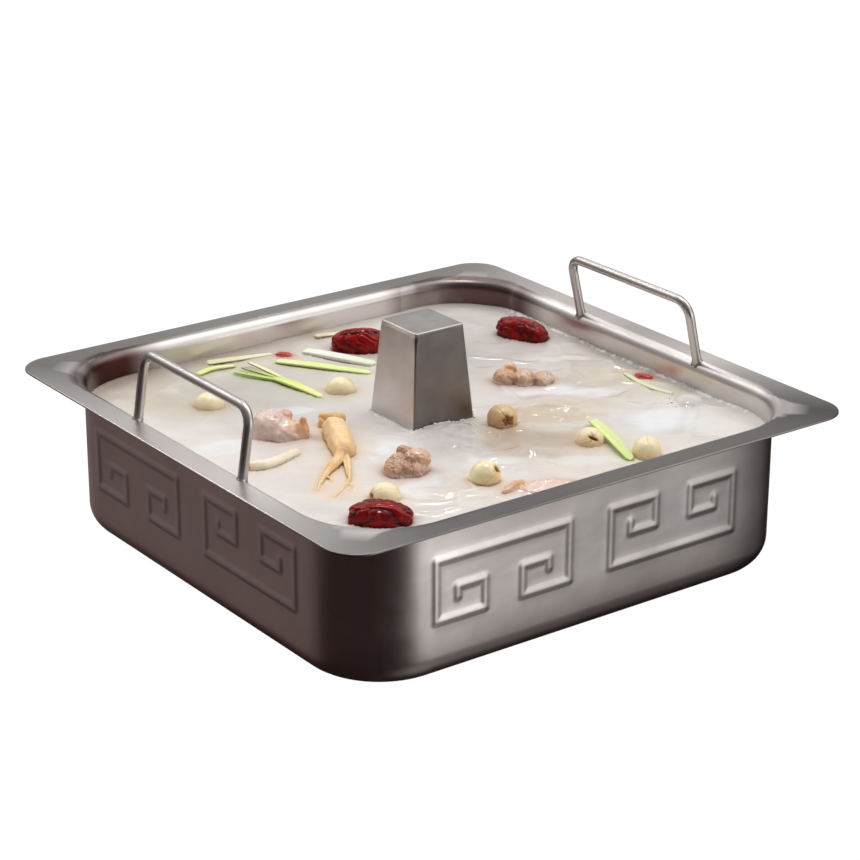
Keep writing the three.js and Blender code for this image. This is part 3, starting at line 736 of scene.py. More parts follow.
# ---- dates
def build_date(name, mat, yaw, pitch, phase, seed, stretch=0.95):
    lo, hi = mm_box(name)
    at = (lo + hi) / 2
    d, f = ball(130, 150)
    x = d[:, 0]
    phi = np.arctan2(d[:, 2], d[:, 1])
    rr = np.sqrt(np.clip(1 - x * x, 0, 1))
    k = np.ones(len(d))
    for count, amount, ph, twist in ((3, 0.035, phase, 1.1), (5, 0.025, phase * 2, -1.6)):
        k += amount * rr * np.sin(count * phi + ph + twist * x)
    # dried skin: broad smooth swells with narrow valleys between them, mostly lengthwise
    warp = fbm(d * 1.3 + seed, 2, seed) * 0.8
    cyl = np.c_[x * stretch + warp * 0.5, rr * np.cos(phi + warp * 0.6) * 2.15, rr * np.sin(phi + warp * 0.6) * 2.15]
    n1 = np.abs(noise(cyl + seed * 5.1, seed + 3))
    n2 = np.abs(noise(cyl * 1.9 + seed * 2.7, seed + 7))
    valley = np.exp(-(n1 / 0.20) ** 2)
    small = np.exp(-(n2 / 0.22) ** 2)
    ends = smooth(0.86, 1.0, np.abs(x))
    k = k + (0.040 - 0.075 * valley - 0.045 * small) * (1 - 0.55 * ends)
    k -= 0.09 * np.exp(-(1 - np.abs(x)) / 0.05)
    p = lump_at(d, (16.3, 9.3, 9.0), 2.35, k)
    p = turned(p, yaw, pitch) + at
    # painted shade: how dark each of the creases is, deepest in the narrow valleys
    crease_shade_mask = np.clip(0.75 * valley + 0.35 * small, 0, 1)
    f = facing_out(p, f)
    remember(p, f, (0.55, 0.42, 0.38))
    return piece(name + "_fruit", p, f, mat, name, {"crease_shade": crease_shade_mask, "end": np.clip(ends * (x > 0), 0, 1)})


# ---- lotus seeds
def build_seed(name, mat, yaw, pitch, eye, seed, seam=0.0):
    lo, hi = mm_box(name)
    at = (lo + hi) / 2
    half = np.array((8.5, 8.2 if eye == "round" else 7.6, 7.5))
    d, f = ball(72, 84)
    x = d[:, 0]
    phi = np.arctan2(d[:, 2], d[:, 1])
    rr = np.sqrt(np.clip(1 - x * x, 0, 1))
    c = x
    k = 1 + 0.012 * fbm(d * 1.7 + seed, 3, seed)
    tint = np.ones((len(d), 3)) * np.array(srgb(255, 236, 196) if seed != 5 else srgb(222, 192, 146))
    tint = tint * (1 + 0.07 * fbm(d * 2.4 + seed * 2, 4, seed + 1))[:, None]
    # yellower towards its foot and in patches
    low = smooth(0.25, -0.35, d[:, 2] + 0.2 * fbm(d * 1.9 + seed, 2, seed + 8))
    tint = tint * (1 - low[:, None] * np.array([0.02, 0.10, 0.26]))
    # scattered brown flecks
    fl = smooth(0.58, 0.72, noise(d * 6.5 + seed * 3.1, seed + 15))
    tint = tint * (1 - 0.12 * fl[:, None] * np.array([0.5, 0.9, 1.3]))
    # two halves meet in a shallow seam
    s = np.exp(-((np.sin(phi - seam)) * rr / 0.038) ** 2) * smooth(-0.9, -0.2, x)
    k -= 0.022 * s
    tint = tint * (1 - (0.42 if seed in (5, 7) else 0.24) * s[:, None] * np.array([0.6, 0.9, 1.3]))
    # fine lengthwise veins
    vein = noise(np.c_[x * 1.2, np.cos(phi) * 7, np.sin(phi) * 7] + seed, seed + 4)
    tint = tint * (1 - 0.04 * np.clip(vein, 0, 1)[:, None])
    if eye:
        k -= 0.10 * np.exp(-(1 - c) / 0.0784)
        th = np.arccos(np.clip(x, -1, 1))
        star = (0.32 if eye == "round" else 0.17) + (0.12 if eye == "round" else 0.10) * np.abs(np.cos((2.5 if eye == "round" else 1.0) * phi + seed)) ** 3
        if eye == "slit":
            star = 0.08 + 0.26 * np.abs(np.cos(phi + 0.5)) ** 6
        hole = smooth(star + 0.10, star - 0.05, th)
        k -= (0.10 if eye == "round" else 0.15) * hole
        crack = np.zeros(len(d))
        nseg = 5 if eye == "round" else 3
        for j in range(nseg):
            a = seed * 1.3 + j * 2 * PI / nseg
            off = np.angle(np.exp(1j * (phi - a - 0.25 * np.sin(3 * th + j))))
            crack = np.maximum(crack, np.exp(-(off * np.sin(th) / 0.05) ** 2) * smooth(0.85, 0.35, th))
        k -= 0.03 * crack
        rim = np.exp(-((th - star - 0.07) / 0.09) ** 2)
        tint = tint * (1 - 0.35 * rim[:, None] * np.array([0.5, 0.8, 1.2]))
        tint = tint * (1 - 0.5 * crack[:, None] * np.array([0.5, 0.85, 1.1]))
        brown = np.array(srgb(150, 92, 44) if eye == "round" else srgb(96, 48, 26))
        if eye == "round":
            # five pale wedges stand in the opening
            wedge = np.clip(np.cos(nseg * (phi - seed * 1.3) + PI), 0, 1) ** 0.6 * smooth(0.04, 0.14, th) * (1 - smooth(0.28, 0.40, th))
            k += 0.055 * wedge * hole
            col = brown * (1 - 0.45 * wedge[:, None]) + np.array(srgb(196, 136, 70)) * 0.45 * wedge[:, None]
            tint = tint * (1 - hole[:, None]) + col * hole[:, None]
        else:
            tint = tint * (1 - hole[:, None]) + brown * hole[:, None]
    p = lump_at(d, half * 0.985, 2.0, k)
    p = turned(p, yaw, pitch) + at
    if seed == 2:       # a brown bruise on its far right shoulder
        q = np.array(local(at, (4.6, 1.5, 5.6)))
        dd = np.linalg.norm((p - q) / np.array([2.6, 2.6, 1.8]), axis=1) + 0.5 * fbm(p / 1.5, 2, 4)
        tint = tint * (1 - 0.6 * np.exp(-dd ** 2)[:, None] * np.array([0.55, 0.85, 1.1]))
    f = facing_out(p, f)
    remember(p, f, srgb(232, 204, 160))
    return piece(name + "_kernel", p, f, mat, name, {"tint": np.clip(soaked(p, tint, 0.6, 2.2), 0, 1)})


# ---- chicken
def blobs(p, base, list_, seed=0, vary=0.10):
    """Colour of each point: a base with soft patches [x, y, z, radius, colour, strength]."""
    c = np.ones((len(p), 3)) * np.array(base)
    wob = fbm(p / 3.2, 3, seed)[:, None]
    for x, y, z, r, col, k in list_:
        d = np.linalg.norm((p - np.array([x, y, z])), axis=1)[:, None] / r + 0.35 * wob
        w = k * np.exp(-d * d)
        c = c * (1 - w) + np.array(col) * w
    return np.clip(c * (1 + vary * fbm(p / 1.6, 3, seed + 3)[:, None]), 0, 1)


def build_chicken(name, mat, at, lumps, patches, fibre, seed, base, fine=0.28, skin=False, big_k=0.5):
    parts = []
    for i, (off, half, turn) in enumerate(lumps):
        parts.append(lump_mesh(local(at, off), half, V + rad(turn), 0, 2.25, (34, 44), 0.13, seed + i))
    v, f = join_meshes(parts)
    v, f, n = remeshed(v, f, 0.46, 2)
    # muscle fibres run along one direction; skin is finely pebbled and wet
    a = np.array(fibre, float)
    a /= np.linalg.norm(a)
    loc = turned(v - np.array(at), -V)
    along = loc @ a
    across = loc - np.outer(along, a)
    wav = across + 0.8 * np.c_[fbm(loc / 5, 2, seed + 1), fbm(loc / 5, 2, seed + 2), fbm(loc / 5, 2, seed + 3)]
    q = wav / (1.0 if not skin else 2.2) + np.outer(along / 8.0, a)
    fib = 1 - 2 * np.abs(noise(q, seed + 5))
    lumpy = fbm(loc / (2.0 if not skin else 3.4), 3, seed + 6)
    big = fbm(loc / 7.5, 2, seed + 9)
    pebble = noise(loc / 0.85, seed + 12) if skin else 0.0
    crack = np.exp(-(noise(np.c_[loc[:, 0] / 5.0, loc[:, 1] / 5.0, loc[:, 2] / 4.0], seed + 21) / 0.07) ** 2) if not skin else np.zeros(len(v))
    v = v + n * (fine * fib + (0.20 if skin else 0.15) * lumpy + big_k * big + 0.06 * pebble - 0.26 * crack - 0.2)[:, None]
    pl = [(*local(at, (x, y, z)), r, c, k) for x, y, z, r, c, k in patches]
    tint = blobs(v, base, pl, seed, 0.07)
    # painted shade in the grooves between fibres and in the cracks
    tint = tint * (1 - 0.14 * np.clip(-fib, 0, 1) - 0.30 * crack)[:, None]
    mean = tint.mean(0)
    tint = soaked(v, tint, 0.55, 2.0)
    remember(v, f, mean * np.array([1.0, 0.94, 0.9]))
    return piece(name + "_meat", v, f, mat, name,
                 {"tint": np.clip(tint, 0, 1)})


# ---- ginseng
def build_ginseng(mat):
    tubes = []

    def root(places, steps, seed, rings=0.028, sides=20):
        wob = np.random.default_rng(seed).uniform(-1, 1, (64, 3))

        def section(t, q, a, b, w, h):
            # shallow cross rings and lengthwise grooves
            k = 1 + rings * math.sin(t * 63 + 2.0 * math.sin(t * 17)) + 0.035 * math.sin(t * 29 + seed)
            g = 1 + 0.035 * np.sin(5 * q + 3 * t + seed) + 0.02 * np.sin(9 * q - 5 * t)
            return a * k * g, b * k * g
        v, f, al, ac = swept(places, steps, sides, section, tip=(0.08, 0.06))
        tubes.append((v, f))

    root([[-51.4, 11.0, Z + 2.9, 7.6, 7.2], [-53.4, 6.8, Z + 2.9, 12.2, 11.2], [-58.4, -4.6, Z + 2.7, 13.6, 12.0],
          [-64.4, -17.2, Z + 2.3, 13.0, 11.4], [-69.2, -26.4, Z + 1.8, 9.4, 8.4]], 90, 1, 0.006, 32)
    root([[-66.5, -20, Z + 2.4, 8.6, 8.2], [-71.5, -26.0, Z + 2.3, 7.2, 7.0], [-77, -30.6, Z + 1.9, 5.6, 5.4], [-84.6, -35.6, Z + 1.4, 4.2, 4.0], [-92, -41.6, Z + 0.9, 2.9, 2.7],
          [-99, -47.8, Z + 0.5, 1.9, 1.9], [-105.5, -54.5, Z + 0.1, 1.1, 1.1]], 80, 2, 0.02)
    root([[-67.0, -21, Z + 2.0, 5.0, 5.0], [-69.9, -28.5, Z + 2.1, 3.2, 3.2], [-73.2, -35.6, Z + 1.9, 2.3, 2.3], [-77.8, -42.6, Z + 1.5, 2.0, 2.0], [-82, -49, Z + 1.1, 1.8, 1.8],
          [-87, -55, Z + 0.7, 1.5, 1.5], [-97, -62.4, Z + 0.3, 1.0, 1.0], [-102.6, -65.8, Z + 0.1, 0.8, 0.8]], 80, 3, 0.02, 14)
    # fine side rootlets
    root([[-70.0, -27, Z + 1.8, 2.6, 2.6], [-76.2, -37, Z + 1.2, 1.5, 1.5], [-81.5, -46.5, Z + 0.9, 1.2, 1.2], [-83.5, -51, Z + 0.9, 1.1, 1.1]], 34, 6, 0.02, 10)
    root([[-86, -35.8, Z + 1.3, 1.8, 1.7], [-91.0, -41.5, Z + 1.0, 1.2, 1.2], [-91.6, -46.4, Z + 0.7, 1.0, 1.0], [-93.6, -49.0, Z + 0.5, 0.9, 0.9]], 30, 4, 0.02, 10)
    root([[-88.5, -55.5, Z + 0.7, 1.2, 1.2], [-88.0, -59.5, Z + 0.4, 0.9, 0.9], [-90.0, -62.5, Z + 0.3, 0.8, 0.8]], 20, 5, 0.02, 10)
    tubes.append(lump_mesh((-46.2, 15.4, Z + 4.0), (5.4, 3.4, 3.0), V - rad(14), 0, 2.1, (26, 32), 0.18, 7))
    tubes.append(lump_mesh((-51.8, 18.4, Z + 4.2), (2.9, 2.5, 2.9), V, 0, 2.1, (24, 30), 0.2, 8))
    tubes.append(lump_mesh((-54.0, 17.2, Z + 1.8), (2.0, 2.2, 3.0), V, 0, 2.1, (20, 24), 0.2, 9))
    v, f = join_meshes(tubes)
    v, f, n = remeshed(v, f, 0.36, 2)
    # fine rings round the waist, faint grooves down the length
    axis = np.array([-0.42, -0.9, 0.0])
    axis /= np.linalg.norm(axis)
    s = v @ axis
    side = v @ np.array([0.9, -0.42, 0.0])
    q = np.c_[s / 1.25 + 0.35 * fbm(v / 4, 2, 3), side / 14, v[:, 2] / 14]
    ringn = np.exp(-(noise(q, 12) / 0.13) ** 2)
    at_waist = np.exp(-((np.hypot(v[:, 0] + 58.0, v[:, 1] + 4.0)) / 8.0) ** 2) + 0.25
    ringn = ringn * at_waist * smooth(-0.5, 0.3, noise(np.c_[side / 3.5, s / 6, v[:, 2] / 4], 14))
    groove = noise(np.c_[s / 16, side / 1.6, v[:, 2] / 1.6], 15)
    v = v + n * (-0.12 * ringn + 0.07 * groove + 0.10 * fbm(v / 3.0, 2, 21))[:, None]
    base = srgb(240, 204, 148)
    # the pale patches high on the body are painted highlight, the darker tan low on its side painted shade; the rest
    # are the root's own colours
    patches = [(-46.5, 15.5, Z + 6, 5, srgb(222, 168, 100), 0.8), (-52, 18, Z + 4, 4.2, srgb(204, 148, 82), 0.8), (-53.4, 18, Z + 1, 3, srgb(176, 112, 56), 0.8),
               (-49.6, 13.6, Z + 8, 3.0, srgb(206, 146, 84), 0.6),
               (-52, 8, Z + 9, 9, srgb(250, 222, 170), 0.75), (-58, -5, Z + 9, 8, srgb(250, 220, 168), 0.6),
               (-60, 2, Z + 2, 5, srgb(226, 172, 108), 0.5), (-70.6, -27.6, Z + 4.6, 2.6, srgb(140, 78, 34), 0.85), (-68.0, -24.0, Z + 6, 2.4, srgb(196, 130, 70), 0.6),
               (-74, -26, Z + 4, 5, srgb(222, 162, 96), 0.6), (-85, -35, Z + 3, 4, srgb(212, 146, 78), 0.6),
               (-98, -50, Z, 12, srgb(240, 206, 156), 0.7), (-76, -39, Z + 2, 8, srgb(246, 220, 178), 0.6), (-90, -58, Z, 12, srgb(238, 204, 152), 0.7)]
    tint = blobs(v, base, patches, 5, 0.05) * (1 - ringn[:, None] * np.array([0.14, 0.26, 0.38])) * (1 + 0.05 * groove)[:, None]
    tint = soaked(v, tint, 0.5, 1.6)
    remember(v, f, srgb(242, 208, 160))
    return piece("ginseng_root_whole", v, f, mat, "ginseng_root", {"tint": np.clip(tint, 0, 1)})


# ---- scallion strips
def lerp_colors(t, stops):
    t = np.clip(t, 0, 1)
    xs = [s[0] for s in stops]
    return np.stack([np.interp(t, xs, [s[1][k] for s in stops]) for k in range(3)], -1)


def build_strip(name, node, mat, places, stops, shape, steps=84, sides=40, edge=None, edge_k=0.5, slot="scallion_green",
                power=2.6, tip=(0.05, 0.05), seed=0, vein=0.035, count=3):
    v, f, al, ac = swept(places, steps, sides, shape, power, tip)
    tint = lerp_colors(al, stops)
    # lengthwise veins, paler cut edges
    lines = np.sin(ac * PI * count + 0.5 * noise(np.c_[al * 2, ac * 1.0, al * 0 + seed], seed))
    tint = tint * (1 + vein * lines[:, None])
    if edge is not None:
        k = edge_k * smooth(0.62, 0.98, np.abs(ac))[:, None]
        tint = tint * (1 - k) + np.array(edge) * k
    tint = tint * (1 + 0.04 * noise(np.c_[al * 2.4, ac * 1.2, al * 0], seed + 2)[:, None])
    return v, f, np.clip(tint, 0, 1)


def put_strip(name, node, mat, *a, **k):
    soak = k.pop("soak", 0.6)
    v, f, tint = build_strip(name, node, mat, *a, **k)
    v = v - np.array([0, 0, k.get("sink", 0.0)])
    if "shallot" not in name and "white" not in name:
        tint = tint * np.array((1.10, 1.0, 0.80)) * 0.70 + np.array((0.90, 0.88, 0.64)) * 0.30
    mean = tint.mean(0)
    tint = np.clip(soaked(v, tint, soak, 1.6, jitter=0.0), 0, 1)
    remember(v, f, mean)
    return piece(name, v, f, mat, node, {"tint": tint})


# ------------------------------------------------------------------ broth
def wall_gap(x, y, half, r):
    """Distance from a point inside a rounded square to its edge."""
    c = half - r
    ax, ay = np.abs(x), np.abs(y)
    inside = np.minimum(half - ax, half - ay)
    corner = (ax > c) & (ay > c)
    return np.where(corner, r - np.hypot(ax - c, ay - c), inside)


def ray_scale(x, y, half, r):
    """Where a ray from the middle leaves the rounded square, over where it leaves the square."""
    m = np.maximum(np.abs(x), np.abs(y)) + 1e-12
    ax, ay = np.abs(x) / m * half, np.abs(y) / m * half
    c = half - r
    s = np.ones_like(ax)
    hit = (ax > c) & (ay > c)
    # |s*(ax, ay) - (c, c)| = r
    A = ax ** 2 + ay ** 2
    B = -2 * c * (ax + ay)
    C = 2 * c * c - r * r
    disc = np.maximum(B * B - 4 * A * C, 0)
    s2 = (-B + np.sqrt(disc)) / (2 * A)
    return np.where(hit, np.minimum(1.0, s2), s)


BROTH_HALF = BODY - SHEET - 0.02
BROTH_R = BROTH_HALF - SHIFT


def build_broth(mat):
    N = 286
    g = np.linspace(-1, 1, N + 1)
    X, Y = np.meshgrid(g, g, indexing="ij")
    m = np.maximum(np.abs(X), np.abs(Y))
    s = ray_scale(X, Y, 1.0, BROTH_R / BROTH_HALF)
    k = 1 - m ** 4 + m ** 4 * s
    x, y = (X * k * BROTH_HALF).ravel(), (Y * k * BROTH_HALF).ravel()
    p = np.c_[x, y, np.zeros_like(x)]
    h = np.zeros_like(x)

    # slow swell of simmering liquid
    wq = p / 30 + 0.9 * np.c_[fbm(p / 38, 2, 47), fbm(p / 38 + 9, 2, 48), p[:, 2]]
    h += 0.55 * fbm(wq, 3, 40) + 0.14 * fbm(p / 9.5, 2, 43)
    # livelier on the right-hand half, where it wells up
    live = smooth(-70, 40, x * 0.805 - y * 0.593 + 0.35 * (x * -0.593 - y * 0.805))
    rid = 1 - 2 * np.abs(noise(np.c_[(x * 0.805 - y * 0.593) / 34, (x * 0.593 + y * 0.805) / 20, x * 0] + 0.7 * np.c_[fbm(p / 24, 2, 44), fbm(p / 24 + 5, 2, 45), p[:, 2]], 46))
    h += live * 0.75 * np.clip(rid, -0.4, 1) ** 2 * np.sign(rid)
    # boiling mound in front of the chimney
    dx, dy = x + 6.0, y + 37.5
    # local axes: right and away as seen from the front corner
    R_, A_ = dx * 0.805 - dy * 0.593, dx * 0.593 + dy * 0.805
    d = np.hypot(R_ / 1.0, A_ / 0.92)
    t = np.clip(1 - (d / 25.0) ** 2, 0, 1)
    mound = 5.0 * t ** 1.35
    rip = fbm(np.c_[R_ / 7.0, A_ / 4.2, x * 0], 3, 50)
    mound += 0.95 * t ** 0.8 * rip + 0.45 * np.sqrt(t) * (1 - 2 * np.abs(noise(np.c_[R_ / 5.5, A_ / 3.6, x * 0 + 4], 52)))
    h += mound
    # rings spreading from it
    h += 0.28 * np.cos(d / 3.1) * smooth(24, 28, d) * (1 - smooth(34, 58, d))
    # ridges left by convection
    for ax, ay, bx, by, wdt, amp in (
            (64.0, -22.0, 100.0, -26.0, 7.0, 1.1), (70.0, -36.0, 106.0, -42.0, 6.0, 0.8), (84.0, -8.0, 96.0, -52.0, 6.0, 0.7),
            (40.0, -60.0, 70.0, -88.0, 6.0, 0.6), (92.0, -92.0, 112.0, -70.0, 6.0, 0.8), (-40.0, -104.0, -62.0, -86.0, 5.0, 0.6),
            (-6.0, -70.0, 22.0, -80.0, 5.0, 0.7), (40.0, 20.0, 62.0, 44.0, 8.0, 0.5), (-100.0, 20.0, -120.0, 56.0, 8.0, 0.5)):
        ex, ey = bx - ax, by - ay
        tt = np.clip(((x - ax) * ex + (y - ay) * ey) / (ex * ex + ey * ey), 0, 1)
        off = 2.2 * noise(np.c_[tt * 3, np.full_like(tt, ax), np.zeros_like(tt)], 60)
        dd = np.hypot(x - ax - tt * ex, y - ay - tt * ey) + off
        h += amp * np.exp(-(dd / wdt) ** 2) - 0.4 * amp * np.exp(-((dd - wdt * 1.7) / (wdt * 0.7)) ** 2)
    # one big bubble by the right wall
    bd = np.hypot(x - 127.4, y + 69.4)
    h += np.where(bd < 8.2, 3.7 * np.sqrt(np.clip(1 - (bd / 8.2) ** 2, 0, 1)) ** 0.9, 0)
    h += 0.45 * np.exp(-((bd - 9.2) / 1.1) ** 2)

    # it creeps up what it touches
    gap = wall_gap(x, y, BROTH_HALF, BROTH_R)
    h += 1.1 * np.exp(-gap / 1.3)
    ch = 15.6 + 0.083 * (TOP - LEVEL)
    cd = np.maximum(np.abs(x + 0.7), np.abs(y - 0.5)) - ch
    h += np.where(cd > -0.5, 1.2 * np.exp(-np.clip(cd, 0, 99) / 1.4), 0)

    tops_v, tops_f = join_meshes(TOP_POINTS)
    cols = np.concatenate(TOP_TINTS)
    pick = np.abs(tops_v[:, 2] - Z) < 0.5
    near, near_col = tops_v[pick], cols[pick]
    tree = KDTree(len(near))
    for i, q in enumerate(near):
        tree.insert((q[0], q[1], 0), i)
    tree.balance()
    found = [tree.find((a, b, 0)) for a, b in zip(x, y)]
    dist = np.array([q[2] for q in found])
    col_near = near_col[np.array([q[1] for q in found])]
    h += 0.42 * np.exp(-dist / 1.1)
    bvh = BVHTree.FromPolygons(tops_v.tolist(), tops_f)
    down = Vector((0, 0, -1))
    z = Z + h
    for i in np.nonzero(dist < 14)[0]:
        hit = bvh.ray_cast(Vector((x[i], y[i], 130.0)), down, 80.0)
        if hit[0] is not None:
            over = hit[0][2] - Z
            if over > 0.9:
                z[i] = min(z[i], Z - 0.6)
            elif over > 0.2:
                z[i] = min(z[i], hit[0][2] - 0.45)
    surf = np.c_[x, y, z]

    # ---- colour: milky white, warmer near food, with painted shade greying the boiling mound
    milk = np.array(srgb(230, 225, 220))
    tint = np.ones((len(x), 3)) * milk
    wob = fbm(p / 12, 3, 70)
    spots = [  # x, y, radius along/away, colour, strength
        (-8, -40, 30, 24, srgb(208, 205, 205), 0.85), (78, -20, 34, 16, srgb(232, 232, 234), 0.8),
        (66, -36, 34, 12, srgb(220, 206, 188), 0.8), (34, -60, 36, 18, srgb(206, 190, 172), 0.85), (14, -81, 22, 16, srgb(196, 180, 162), 0.7),
        (96, -34, 30, 20, srgb(222, 208, 190), 0.7), (116, 0, 16, 30, srgb(214, 204, 190), 0.7),
        (96, -84, 24, 22, srgb(230, 230, 230), 0.8), (70, -96, 40, 12, srgb(222, 214, 200), 0.6),
        (20, -112, 44, 14, srgb(232, 220, 208), 0.6), (-20, -90, 26, 16, srgb(232, 230, 230), 0.7), (-60, -96, 30, 20, srgb(232, 222, 212), 0.6),
        (-98, -30, 30, 22, srgb(230, 220, 214), 0.7), (-112, 10, 22, 30, srgb(232, 230, 228), 0.7), (-60, 20, 30, 26, srgb(222, 208, 200), 0.6),
        (-66, 76, 44, 36, srgb(222, 218, 208), 0.75), (-30, 60, 30, 30, srgb(218, 214, 208), 0.6), (-104, 100, 26, 24, srgb(214, 204, 180), 0.6),
        (-122, 24, 14, 12, srgb(232, 218, 186), 0.5), (20, 100, 40, 30, srgb(214, 208, 202), 0.6), (90, 92, 40, 30, srgb(212, 208, 204), 0.6),
        (100, 40, 26, 26, srgb(216, 212, 206), 0.6), (44, 36, 20, 30, srgb(210, 206, 202), 0.5), (60, -4, 24, 10, srgb(214, 202, 192), 0.5)]
    wx = x + 9 * fbm(p / 22, 2, 71)
    wy = y + 9 * fbm(p / 22 + 3, 2, 72)
    for sx, sy, ra, rb, col, kk in spots:
        a = (wx - sx) * 0.805 - (wy - sy) * 0.593
        b = (wx - sx) * 0.593 + (wy - sy) * 0.805
        w = kk * np.exp(-((a / ra) ** 2 + (b / rb) ** 2) * (1 + 0.4 * wob))
        tint = tint * (1 - w[:, None]) + np.array(col) * w[:, None]
    # sharper-edged sheets, mostly whiter, with clearer broth between them; the brownish-grey ones at (28, -64) and
    # (-61, 6) are painted shadows, beside a lotus seed and at the right end of the skin-on chicken
    sheets = [(80, -16, 32, 9, srgb(243, 244, 247), 0.85), (58, -42, 30, 7, srgb(214, 196, 170), 0.75), (98, -80, 18, 14, srgb(242, 243, 246), 0.75),
              (112, 24, 16, 5, srgb(240, 238, 234), 0.7), (122, -14, 26, 13, srgb(222, 210, 194), 0.6), (28, -64, 28, 12, srgb(196, 180, 162), 0.8),
              (-112, 22, 15, 9, srgb(243, 245, 247), 0.75), (-40, -26, 9, 13, srgb(244, 245, 248), 0.8), (-62, -76, 10, 14, srgb(242, 243, 245), 0.75),
              (-48, 46, 14, 5, srgb(243, 244, 248), 0.8), (-61, 6, 8, 5, srgb(202, 180, 168), 0.8), (-4, -78, 16, 7, srgb(244, 243, 240), 0.6),
              (-96, -60, 16, 14, srgb(234, 220, 208), 0.5), (60, 60, 20, 8, srgb(226, 222, 218), 0.6), (30, -100, 26, 6, srgb(238, 236, 234), 0.6)]
    for sx, sy, ra, rb, col, kk in sheets:
        a = (wx - sx) * 0.805 - (wy - sy) * 0.593
        b = (wx - sx) * 0.593 + (wy - sy) * 0.805
        w = kk * smooth(1.35, 0.65, np.hypot(a / ra, b / rb) + 0.35 * wob)
        tint = tint * (1 - w[:, None]) + np.array(col) * w[:, None]
    # cloudy currents
    cur = 1 - 2 * np.abs(noise(np.c_[(wx * 0.805 - wy * 0.593) / 26, (wx * 0.593 + wy * 0.805) / 13, x * 0], 73))
    tint = tint * (1 + (0.035 * cur + 0.03 * wob)[:, None])
    # what floats colours the broth round it
    halo = 0.62 * np.exp(-(dist / 2.6) ** 1.2) + 0.14 * np.exp(-dist / 8.0)
    tint = tint * (1 - halo[:, None]) + (0.45 * col_near + 0.55 * col_near * tint * 1.15) * halo[:, None]
    # painted shade: darker along the walls, most towards the back
    edge = np.exp(-gap / 6.0)
    back = smooth(-20, 90, x * 0.593 + y * 0.805)
    tint = tint * (1 - (0.05 + 0.20 * back)[:, None] * edge[:, None] * np.array([0.8, 1.0, 1.15]))
    # the far left side lies in the wall's shade, brownish
    shade = np.exp(-np.clip(BROTH_HALF - y, 0, 999) / 26.0) * smooth(90, -60, x)
    tint = tint * (1 - 0.50 * shade[:, None] * np.array([0.86, 1.0, 1.12]))
    shade2 = np.exp(-np.hypot(x - 70, y - 70) / 38.0)
    tint = tint * (1 - 0.40 * shade2[:, None] * np.array([0.95, 1.0, 1.03]))
    shade3 = np.exp(-(np.hypot((x + 68) / 1.0, (y - 82) / 1.0) / 40.0) ** 2)
    tint = tint * (1 - 0.22 * shade3[:, None])
    # painted highlight: a bright broken line along the right wall and the foot of the chimney, where the waterline
    # catches the light
    waterline_glint = np.where((x > BROTH_HALF - 2.6) & (y > -100), smooth(-0.15, 0.25, noise(p / 2.2, 75)), 0.0)
    waterline_glint = np.maximum(waterline_glint, np.where((cd > -0.4) & (cd < 1.3) & (x + y < 0), smooth(-0.35, 0.2, noise(p / 1.5, 76)), 0.0))
    tint = tint * (1 - waterline_glint[:, None]) + np.array((0.93, 0.92, 0.91)) * waterline_glint[:, None]

    # ---- close the body down to the floor
    idx = np.arange((N + 1) ** 2).reshape(N + 1, N + 1)
    tint = tint * 0.925
    quads = np.stack([idx[:-1, :-1], idx[1:, :-1], idx[1:, 1:], idx[:-1, 1:]], -1).reshape(-1, 4).tolist()
    loop = list(idx[:-1, 0]) + list(idx[-1, :-1]) + list(idx[:0:-1, -1]) + list(idx[0, :0:-1])
    verts = [surf]
    tints = [tint]
    last, base = loop, len(surf)
    bx, by = x[loop], y[loop]
    c = SHIFT
    nx = bx - np.clip(bx, -c, c)
    ny = by - np.clip(by, -c, c)
    ln = np.hypot(nx, ny)
    f_ = 15.0 - SHEET
    steps = [(0.0, 55.0), (0.0, 15.0)] + [(f_ - f_ * math.sin(t), 15.0 - f_ * math.cos(t) + 0.02) for t in (PI / 3, PI / 6, 0.02)]
    for inset, zz in steps:
        q = np.c_[bx - nx / ln * inset, by - ny / ln * inset, np.full(len(loop), zz)]
        verts.append(q)
        tints.append(np.ones((len(loop), 3)) * milk)
        cur = list(range(base, base + len(loop)))
        quads += [[last[i], cur[i], cur[(i + 1) % len(loop)], last[(i + 1) % len(loop)]] for i in range(len(loop))]
        last, base = cur, base + len(loop)
    verts.append(np.array([[0, 0, steps[-1][1]]]))
    tints.append(np.array([milk]))
    quads += [[last[i], base, last[(i + 1) % len(loop)]] for i in range(len(loop))]
    v = np.concatenate(verts)
    f = facing_out(v, quads)
    return piece("broth_liquid", v, f, mat, "broth", {"tint": np.clip(np.concatenate(tints), 0, 1)}), (x, y, z)


